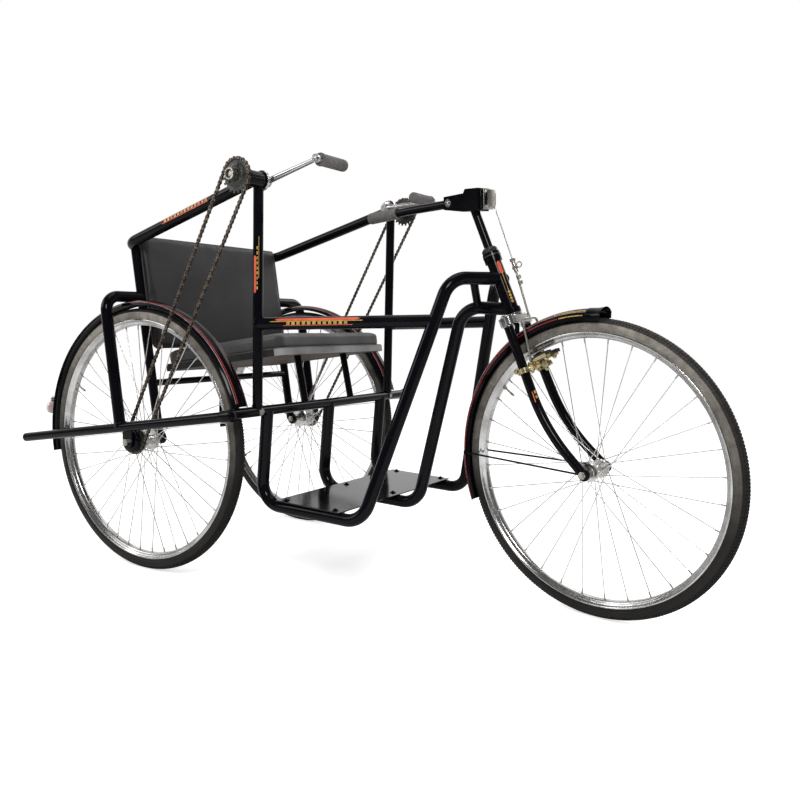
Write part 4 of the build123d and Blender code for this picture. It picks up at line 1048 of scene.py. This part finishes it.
def make_stripes():
    """Bars and ticks on the rails, posts, head and fork. A side rail ends on its side loop's front run."""
    share = (0.694 - 0.207) / (0.797 - 0.207)
    lug_x = 0.664 + (0.812 - 0.664) * share
    lug_y = 0.262 + (0.125 - 0.262) * share
    ahead = Vector((1, 0, 0))
    for name, side in SIDES:
        bm = bmesh.new()
        out = Vector((0, side, 0))
        rail = (at(CRANK_X, side * POST_Y, 0.677), at(lug_x, side * lug_y, 0.694), RAIL_STRIPE)
        arm = (at(CRANK_X, side * 0.312, CRANK_Z), at(-0.118, side * 0.302, LEG_TOP_Z), ARM_STRIPE)
        for (start, end, radius), low, high, facing, half_angle, slope, ticks, material in (
                (rail, 0.11, 0.6, out + UP * 0.7, 13, 2.6, 0, 0),
                (rail, 0.08, 0.62, out + UP * 0.3, 4, 6.0, 0, 1),
                (rail, 0.18, 0.54, out, 13, 0, 12, 1),
                (rail, 0.16, 0.56, out - UP * 0.32, 2.5, 4.0, 0, 0),
                (arm, 0.27, 0.69, out + UP * 0.8, 5, 8.0, 0, 0),
                (arm, 0.31, 0.65, out + UP * 0.4, 14, 0, 13, 1),
                (arm, 0.3, 0.66, out - UP * 0.02, 4, 6.0, 0, 0)):
            stripe(bm, start.lerp(end, low), start.lerp(end, high), radius, facing, half_angle, slope, ticks,
                   material)
        for low, high, facing, half_angle, slope, ticks, material in (
                (0.752, 0.846, out + ahead * 0.1, 14, 1.6, 0, 0),
                (0.762, 0.872, out + ahead * 0.62, 7, 0, 9, 1),
                (0.79, 0.892, out + ahead * 1.15, 3, 3.0, 0, 1)):
            stripe(bm, at(CRANK_X, side * POST_Y, low), at(CRANK_X, side * POST_Y, high), POST_STRIPE, facing,
                   half_angle, slope, ticks, material)
        piece(bm, f"tube_stripes_{name}", "frame", [stripe_orange, stripe_gold], angle=60)
    bm = bmesh.new()
    for side in (-1, 1):
        facing = Vector((0.8, side * 0.62, 0.36))
        band(bm, head_point(0.806), head_point(0.838), HEAD_STRIPE, facing, 16, 0.9)
        band(bm, head_point(0.735), head_point(0.812), HEAD_STRIPE, facing, 3, 6.0, material=1)
        tick_row(bm, head_point(0.738), head_point(0.768), HEAD_STRIPE, facing, 11, 4, material=1)
    piece(bm, "head_stripes", "frame", [stripe_orange, stripe_gold], angle=60)
    bm = bmesh.new()
    for side in (-1, 1):
        high = steer_turn @ at(1.003, side * 0.042, 0.535)
        low = steer_turn @ at(1.027, side * 0.0433, 0.48)
        tick_row(bm, high, low, 0.0119, Vector((0.85, side * 0.5, 0.35)), 14, 5, material=1)
        band(bm, high, low, 0.012, Vector((0.4, side * 0.9, 0.2)), 5, 3.0)
    piece(bm, "fork_stripes", "steering", [stripe_orange, stripe_gold], angle=60)


make_stripes()


# Small fittings of the frame and cranks: bolts, end caps, weld beads, reflector
def weld_ring(bm, origin, direction, radius, bead=0.0022):
    """Rounded weld bead round a tube's end."""
    lathe(bm, round_profile(radius, bead, 8), toward(origin, direction), 28)


def board_bolts(bm, y):
    """Two bolts that hold the footboard on a loop's floor run."""
    for x in (0.43, 0.585):
        bolt(bm, at(x, y, 0.2335 + (0.348 - x) * 0.0222), UP, 0.0052, 0.0032, 0.0085)


def make_frame_fittings():
    bm = bmesh.new()
    bright = bmesh.new()
    for side in (-1, 1):
        rail_a = at(-0.43, side * OUTER_RAIL_Y, 0.329)
        rail_b = at(0.384, side * OUTER_RAIL_Y, 0.457)
        run = (rail_b - rail_a).normalized()
        for end, direction in ((rail_a, -run), (rail_b, run)):
            cap = [(TUBE_RADIUS, 0.0), (0.0124, 0.0012), (0.01, 0.003), (0.005, 0.004), (0.0, 0.0043)]
            lathe(bm, cap, toward(end - direction * 0.0006, direction), 24)
        out = Vector((0, side, 0))
        weld_ring(bm, at(CRANK_X, side * 0.3953, 0.457), out, TUBE_RADIUS)
        weld_ring(bm, at(CRANK_X, side * POST_Y, 0.4712), UP, TUBE_RADIUS)
        weld_ring(bm, at(-0.02, side * OUTER_RAIL_Y, 0.408), UP, 0.015, 0.0026)
        weld_ring(bm, at(CRANK_X, side * 0.305, 0.677), Vector((0.43, -side * 0.15, 0.017)), 0.0142, 0.0024)
        board_bolts(bm, side * 0.262)
        bolt(bright, at(0.3765, side * POST_Y, 0.4575), Vector((1.0, side * 0.55, 0.05)), 0.0066, 0.0046,
             0.01)
        lathe(bm, [(TUBE_RADIUS, -0.018), (0.0146, -0.018), (0.015, -0.016), (0.015, 0.016), (0.0146, 0.018),
                   (TUBE_RADIUS, 0.018)], toward(at(CRANK_X, side * OUTER_RAIL_Y, 0.4542), run), 28)
        lathe(bm, [(0.0135, 0.0), (0.0285, 0.0), (0.03, 0.0015), (0.03, 0.007), (0.028, 0.009),
                   (0.0135, 0.009)], toward(at(0, side * 0.385, WHEEL_RADIUS), out), 36)
    board_bolts(bm, 0)
    piece(bm, "frame_welds_and_caps", "frame", [black_enamel], angle=50)
    piece(bright, "frame_bolts", "frame", [plated_steel])


def make_reflector():
    """Round reflector that stands off behind the near guard on a bent strip."""
    bm = bmesh.new()
    spot = at(-0.4, -HALF_TRACK, 0.415)
    back = Vector((-1, 0, 0.1)).normalized()
    lathe(bm, [(0.0, -0.004), (0.017, -0.004), (0.019, -0.002), (0.019, 0.003), (0.0182, 0.0044)],
          toward(spot, back), 28, material=1)
    lathe(bm, [(0.0182, 0.0044), (0.013, 0.0068), (0.0, 0.008)], toward(spot, back), 28, material=1)
    block(bm, (0.026, 0.012, 0.0016), moved(-0.39, -HALF_TRACK, 0.438) @ turned(-12, "Y"), 0.0005)
    block(bm, (0.0016, 0.012, 0.018), moved(-0.3965, -HALF_TRACK, 0.431), 0.0005)
    bolt(bm, at(-0.396, -HALF_TRACK, 0.4405), Vector((-0.2, 0, 1)), 0.0048, 0.0038, 0.008, material=2)
    piece(bm, "guard_reflector", "frame", [plated_steel, lens_white, dark_steel])


def make_crank_fittings():
    for name, side in SIDES:
        bm = bmesh.new()
        out = Vector((0, side, 0))
        shell = at(CRANK_X, side * 0.284, CRANK_Z)
        lathe(bm, [(0.0085, -0.0003), (0.02, -0.0003), (0.0252, 0.001), (0.0252, 0.004), (0.0243, 0.005),
                   (0.0243, 0.008)], toward(shell, out), 32)
        piece(bm, f"crank_bearing_ring_{name}", "frame", [bright_chrome])
        bm = bmesh.new()
        face = at(CRANK_X, side * (CHAIN_Y + 0.0012), CRANK_Z)
        lathe(bm, [(0.0082, 0.0), (0.03, 0.0), (0.03, 0.0006), (0.028, 0.0016), (0.0215, 0.0016),
                   (0.02, 0.003), (0.015, 0.004), (0.015, 0.0062), (0.0082, 0.0062)],
              toward(face, out), 36)
        for index in range(5):
            angle = 2 * math.pi * index / 5
            spot = face + Vector((0.025 * math.cos(angle), side * 0.0012, 0.025 * math.sin(angle)))
            bolt(bm, spot, out, 0.003, 0.0018)
        piece(bm, f"chainwheel_fittings_{name}", f"crank_drive_{name}", [dark_steel])
        bm = bmesh.new()
        cup = at(CRANK_X, side * 0.384, CRANK_Z)
        lathe(bm, [(0.0082, 0.0), (0.0132, 0.0), (0.014, 0.0012), (0.014, 0.019), (0.013, 0.0204),
                   (0.011, 0.0204), (0.0104, 0.0192), (0.0104, 0.011), (0.007, 0.011), (0.0064, 0.015),
                   (0.0, 0.0152)], toward(cup, out), 32)
        piece(bm, f"crank_axle_cup_{name}", f"crank_drive_{name}", [plated_steel])


make_frame_fittings()
make_reflector()
make_crank_fittings()


# Steering fittings: chrome crown, clamp bands, bolts, brake blocks, mudguard skirts, tip and stays
def parked_piece(bm, name, materials, angle=35.0):
    """Finished piece of the steering, built straight ahead and turned to its parked place."""
    put(bm, steer_turn)
    return piece(bm, name, "steering", materials, angle)


front_guard_place = Matrix.Translation(FRONT_HUB) @ turned(90, "X")


def front_arc(bm, profile, begin, sweep, steps, material=0, closed=False):
    """Spins a profile about the front axle, from one angle and over another, in degrees."""
    lathe(bm, profile, front_guard_place @ turned(begin), steps, arc=math.radians(sweep), closed=closed,
          material=material)


def on_side(side, profile):
    """Profile with its heights laid to one side of the wheel."""
    return [(radius, side * height) for radius, height in profile]


def make_head_fittings():
    bm = bmesh.new()
    for side in (-1, 1):
        bolt(bm, at(0.742, side * 0.023, 0.99), Vector((0, side, 0)), 0.007, 0.0045, 0.0105)
    parked_piece(bm, "stem_bolts", [bright_chrome])
    bm = bmesh.new()
    for size, x, y, bevel, material in (((0.0105, 0.036, 0.048), 0.8402, 0, 0.002, 0),
                                        ((0.005, 0.028, 0.04), 0.847, 0, 0.001, 0),
                                        ((0.0032, 0.0372, 0.049), 0.85, 0, 0.001, 1),
                                        ((0.0095, 0.035, 0.0455), 0.856, 0, 0.003, 1),
                                        ((0.008, 0.003, 0.03), 0.856, -0.0172, 0.001, 0),
                                        ((0.008, 0.003, 0.03), 0.856, 0.0172, 0.001, 0)):
        block(bm, size, moved(x, y, CLAMP_Z), bevel, material)
    clamp = parked_piece(bm, "stem_clamp_bands", [black_enamel, plated_steel])
    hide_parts("stem_clamp")
    bm = bmesh.new()
    top = head_point(0.853)
    bar(bm, 8, 0.0205, 0.008, toward(top + steer_up * 0.0145, steer_up))
    lathe(bm, [(0.011, 0.018), (0.019, 0.018), (0.019, 0.0205), (0.015, 0.0245), (0.0113, 0.0255)],
          toward(top, steer_up), 32)
    lathe(bm, [(0.015, 0.0002), (0.0226, 0.0002), (0.0226, 0.003), (0.0205, 0.0055)],
          toward(top, steer_up), 32)
    parked_piece(bm, "headset_nut", [dark_steel])
    bm = bmesh.new()
    foot = head_point(0.716)
    cross = Matrix((ACROSS, steer_up.cross(ACROSS), steer_up)).transposed().to_4x4()
    place = Matrix.Translation(foot - steer_up * 0.0193) @ cross
    sized_cube(bm, (0.1012, 0.0372, 0.021))
    bevelled(bm, upright_edges(bm), 0.0125, 5)
    put(bm, place)
    for side in (-1, 1):
        cap = Matrix.Translation(foot + Vector((0, side * 0.038, 0)) - steer_up * 0.009) @ cross
        profile = [(0.0128, -0.024), (0.0132, -0.002), (0.0118, 0.003), (0.008, 0.0062), (0.0, 0.0078)]
        lathe(bm, profile, cap, 24)
    lathe(bm, [(0.015, -0.0085), (0.0212, -0.0085), (0.0222, -0.006), (0.0222, -0.002), (0.019, -0.0005)],
          Matrix.Translation(foot) @ cross, 32)
    parked_piece(bm, "crown_plating", [bright_chrome])


def make_brake_fittings():
    bm = bmesh.new()
    brass = bmesh.new()
    pads = bmesh.new()
    blade_run = Vector((0.1066, 0, -0.2372)).normalized()
    for side in (-1, 1):
        ring = ((0.2935, 0.0105), (0.3015, 0.0105), (0.3015, 0.0265), (0.2935, 0.0265))
        front_arc(pads, on_side(side, ring), 112.0, 11.0, 8, closed=True)
        ring = ((0.289, 0.0085), (0.2965, 0.0085), (0.2965, 0.01), (0.2932, 0.01), (0.2932, 0.027),
                (0.2965, 0.027), (0.2965, 0.0285), (0.289, 0.0285))
        front_arc(brass, on_side(side, ring), 113.5, 8.0, 8, closed=True)
        for angle_deg in (115.0, 120.5):
            angle = math.radians(angle_deg)
            out = Vector((math.cos(angle), 0, math.sin(angle)))
            spot = at(WHEELBASE, -side * 0.019, WHEEL_RADIUS) + out * 0.289
            bolt(brass, spot, -out, 0.0062, 0.0052, 0.0088)
        block(brass, (0.015, 0.015, 0.017), moved(0.9955, side * 0.0305, 0.596), 0.0018)
        block(brass, (0.024, 0.005, 0.012), moved(1.006, side * 0.025, 0.595) @ turned(-32, "Y"),
              0.0012)
        bolt(brass, at(0.9975, side * 0.0305, 0.586), Vector((0.2, 0, -1)), 0.0058, 0.0056)
        middle = at(0.9811, side * 0.0407, 0.583)
        lathe(brass, [(0.0112, -0.0062), (0.0142, -0.0062), (0.0142, 0.0062), (0.0112, 0.0062)],
              toward(middle, blade_run), 28, closed=True)
        block(brass, (0.02, 0.009, 0.01), moved(0.966, side * 0.044, 0.579) @ turned(24, "Y"), 0.0014)
        rod(brass, at(0.988, side * 0.04, 0.587), at(0.996, side * 0.032, 0.593), 0.0048, 12)
        bolt(brass, at(0.964, side * 0.048, 0.579), Vector((0, side, 0)), 0.005, 0.004)
    close_ends(brass)
    close_ends(pads)
    pad = parked_piece(pads, "brake_blocks", [pad_rubber], angle=40)
    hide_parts("brake_pads")
    clip = parked_piece(brass, "brake_clips_and_holders", [clip_brass], angle=40)
    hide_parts("brake_clips")
    spot = at(0.926, 0, 0.832)
    run = (spot - at(0.87, 0, 0.972)).normalized()
    for shift in (-0.014, 0.006):
        lathe(bm, [(0.003, -0.003), (0.0068, -0.003), (0.0074, -0.0016), (0.0074, 0.0016),
                   (0.0068, 0.003), (0.003, 0.003)], toward(spot + run * shift, run), 10)
    ring = round_profile(0.0066, 0.0016, 8, overlap=0)
    lathe(bm, ring, toward(spot + Vector((0.0135, 0, 0.002)), Vector((0.15, -1, 0.1))), 20, closed=True)
    for shift in (0.03, 0.044):
        lathe(bm, [(0.0026, -0.004), (0.0058, -0.004), (0.0058, 0.004), (0.0026, 0.004)],
              toward(spot + run * shift + Vector((0.0015, 0, 0)), run), 6)
    parked_piece(bm, "cable_adjuster_nuts", [plated_steel], angle=30)


def make_front_guard_fittings():
    """Side skirts, the flared tip, the two stays and the gold lines of the front mudguard."""
    bm = bmesh.new()
    for side in (-1, 1):
        ring = on_side(side, ((0.365, 0.0232), (0.365, 0.0244), (0.352, 0.025), (0.352, 0.0238)))
        front_arc(bm, ring, 89.5, 110.0, 60, closed=True)
        line = on_side(side, ((0.3636, 0.02465), (0.3614, 0.02485)))
        front_arc(bm, line, 104.0, 94.0, 50, material=1)
        front_arc(bm, line, 93.5, 10.0, 12, material=2)
    close_ends(bm)
    finishes = [black_enamel, lining_red, stripe_gold]
    parked_piece(bm, "front_guard_skirts", finishes, angle=40)
    bm = bmesh.new()
    profile = [(0.35, -0.0252), (0.357, -0.0254), (0.365, -0.025)]
    for step in range(1, 12):
        offset = 0.025 * (2 * step / 12 - 1)
        profile.append((guard_height(offset, 0.05) + 0.0012, offset))
    profile += [(0.365, 0.025), (0.357, 0.0254), (0.35, 0.0252)]
    lathe(bm, profile, turned(86.5), 7, arc=math.radians(6.0))
    for vert in bm.verts:
        angle = math.degrees(math.atan2(vert.co.y, vert.co.x))
        flare = max(0.0, (90.5 - angle) / 4.0) ** 2
        out = Vector((vert.co.x, vert.co.y, 0)).normalized()
        vert.co += out * 0.004 * flare
        vert.co.z *= 1.0 + 0.1 * flare
    bmesh.ops.recalc_face_normals(bm, faces=bm.faces)
    bmesh.ops.solidify(bm, geom=bm.faces[:], thickness=0.0012)
    put(bm, front_guard_place)
    parked_piece(bm, "front_guard_tip", [black_enamel], angle=40)
    bm = bmesh.new()
    for side in (-1, 1):
        high = at(WHEELBASE - 0.3625, side * 0.0262, WHEEL_RADIUS + 0.001)
        low = at(WHEELBASE - 0.013, side * 0.053, WHEEL_RADIUS)
        rod(bm, high, low, 0.0025, 10)
        bolt(bm, high + Vector((0.004, 0, 0)), Vector((0, side, 0)), 0.0046, 0.0034, 0.007)
    parked_piece(bm, "front_guard_stays", [black_enamel], angle=40)
    bm = bmesh.new()
    for side in (-1, 1):
        offsets = [side * offset for offset in (0.0142, 0.0158, 0.0172)]
        profile = [(guard_height(offset, 0.048) + 0.0003, offset) for offset in offsets]
        front_arc(bm, profile, 93.0, 13.0, 16)
    parked_piece(bm, "front_guard_gold_lines", [stripe_gold], angle=60)


make_head_fittings()
make_brake_fittings()
make_front_guard_fittings()


# Floor, background and soft studio light
def make_stage():
    scene = bpy.context.scene
    scene.view_settings.view_transform = "Standard"
    world = bpy.data.worlds.new("studio")
    scene.world = world
    world.use_nodes = True
    tree = world.node_tree
    back = tree.nodes["Background"]
    back.inputs["Color"].default_value = (1, 1, 1, 1)
    path = tree.nodes.new("ShaderNodeLightPath")
    place = tree.nodes.new("ShaderNodeTexCoord")
    facing = tree.nodes.new("ShaderNodeVectorMath")
    facing.operation = "DOT_PRODUCT"
    facing.inputs[1].default_value = (-0.53, 0.84, -0.1)
    tree.links.new(place.outputs["Generated"], facing.inputs[0])
    sweep = remap(tree, facing.outputs["Value"], 0.0, 0.55, 0.12, 1.0)
    mirrored = combine(tree, "MAXIMUM", path.outputs["Is Glossy Ray"], path.outputs["Is Transmission Ray"])
    lit = remap(tree, mirrored, 0.0, 1.0, 0.5, sweep)
    tree.links.new(remap(tree, path.outputs["Is Camera Ray"], 0.0, 1.0, lit, 1.0), back.inputs["Strength"])
    bm = bmesh.new()
    bmesh.ops.create_grid(bm, x_segments=1, y_segments=1, size=14.0)
    mesh = bpy.data.meshes.new("floor")
    bm.to_mesh(mesh)
    bm.free()
    floor = bpy.data.objects.new("floor", mesh)
    scene.collection.objects.link(floor)
    material, tree, shader = new_material("pale_floor")
    shader.inputs["Base Color"].default_value = (0.92, 0.92, 0.92, 1)
    shader.inputs["Roughness"].default_value = 0.9
    shader.inputs["Specular IOR Level"].default_value = 0.0
    shader.inputs["Emission Color"].default_value = (1, 1, 1, 1)
    view = tree.nodes.new("ShaderNodeLightPath")
    glow = remap(tree, view.outputs["Is Camera Ray"], 0.0, 1.0, 0.0, 0.56)
    tree.links.new(glow, shader.inputs["Emission Strength"])
    mesh.materials.append(material)
    for name, place, size, power in (("key", (2.2, -3.2, 3.2), 1.2, 95.0),
                                     ("fill", (-3.0, -2.4, 2.4), 1.8, 42.0),
                                     ("rim", (0.5, 3.6, 3.0), 2.0, 40.0),
                                     ("top", (0.0, 0.0, 4.2), 2.4, 30.0)):
        data = bpy.data.lights.new(name, "AREA")
        data.shape = "SQUARE"
        data.size = size
        data.energy = power
        lamp = bpy.data.objects.new(name, data)
        scene.collection.objects.link(lamp)
        aim = Vector((0, 0, 0.5)) - Vector(place)
        lamp.matrix_world = Matrix.Translation(place) @ aim.to_track_quat("-Z", "Y").to_matrix().to_4x4()


make_stage()
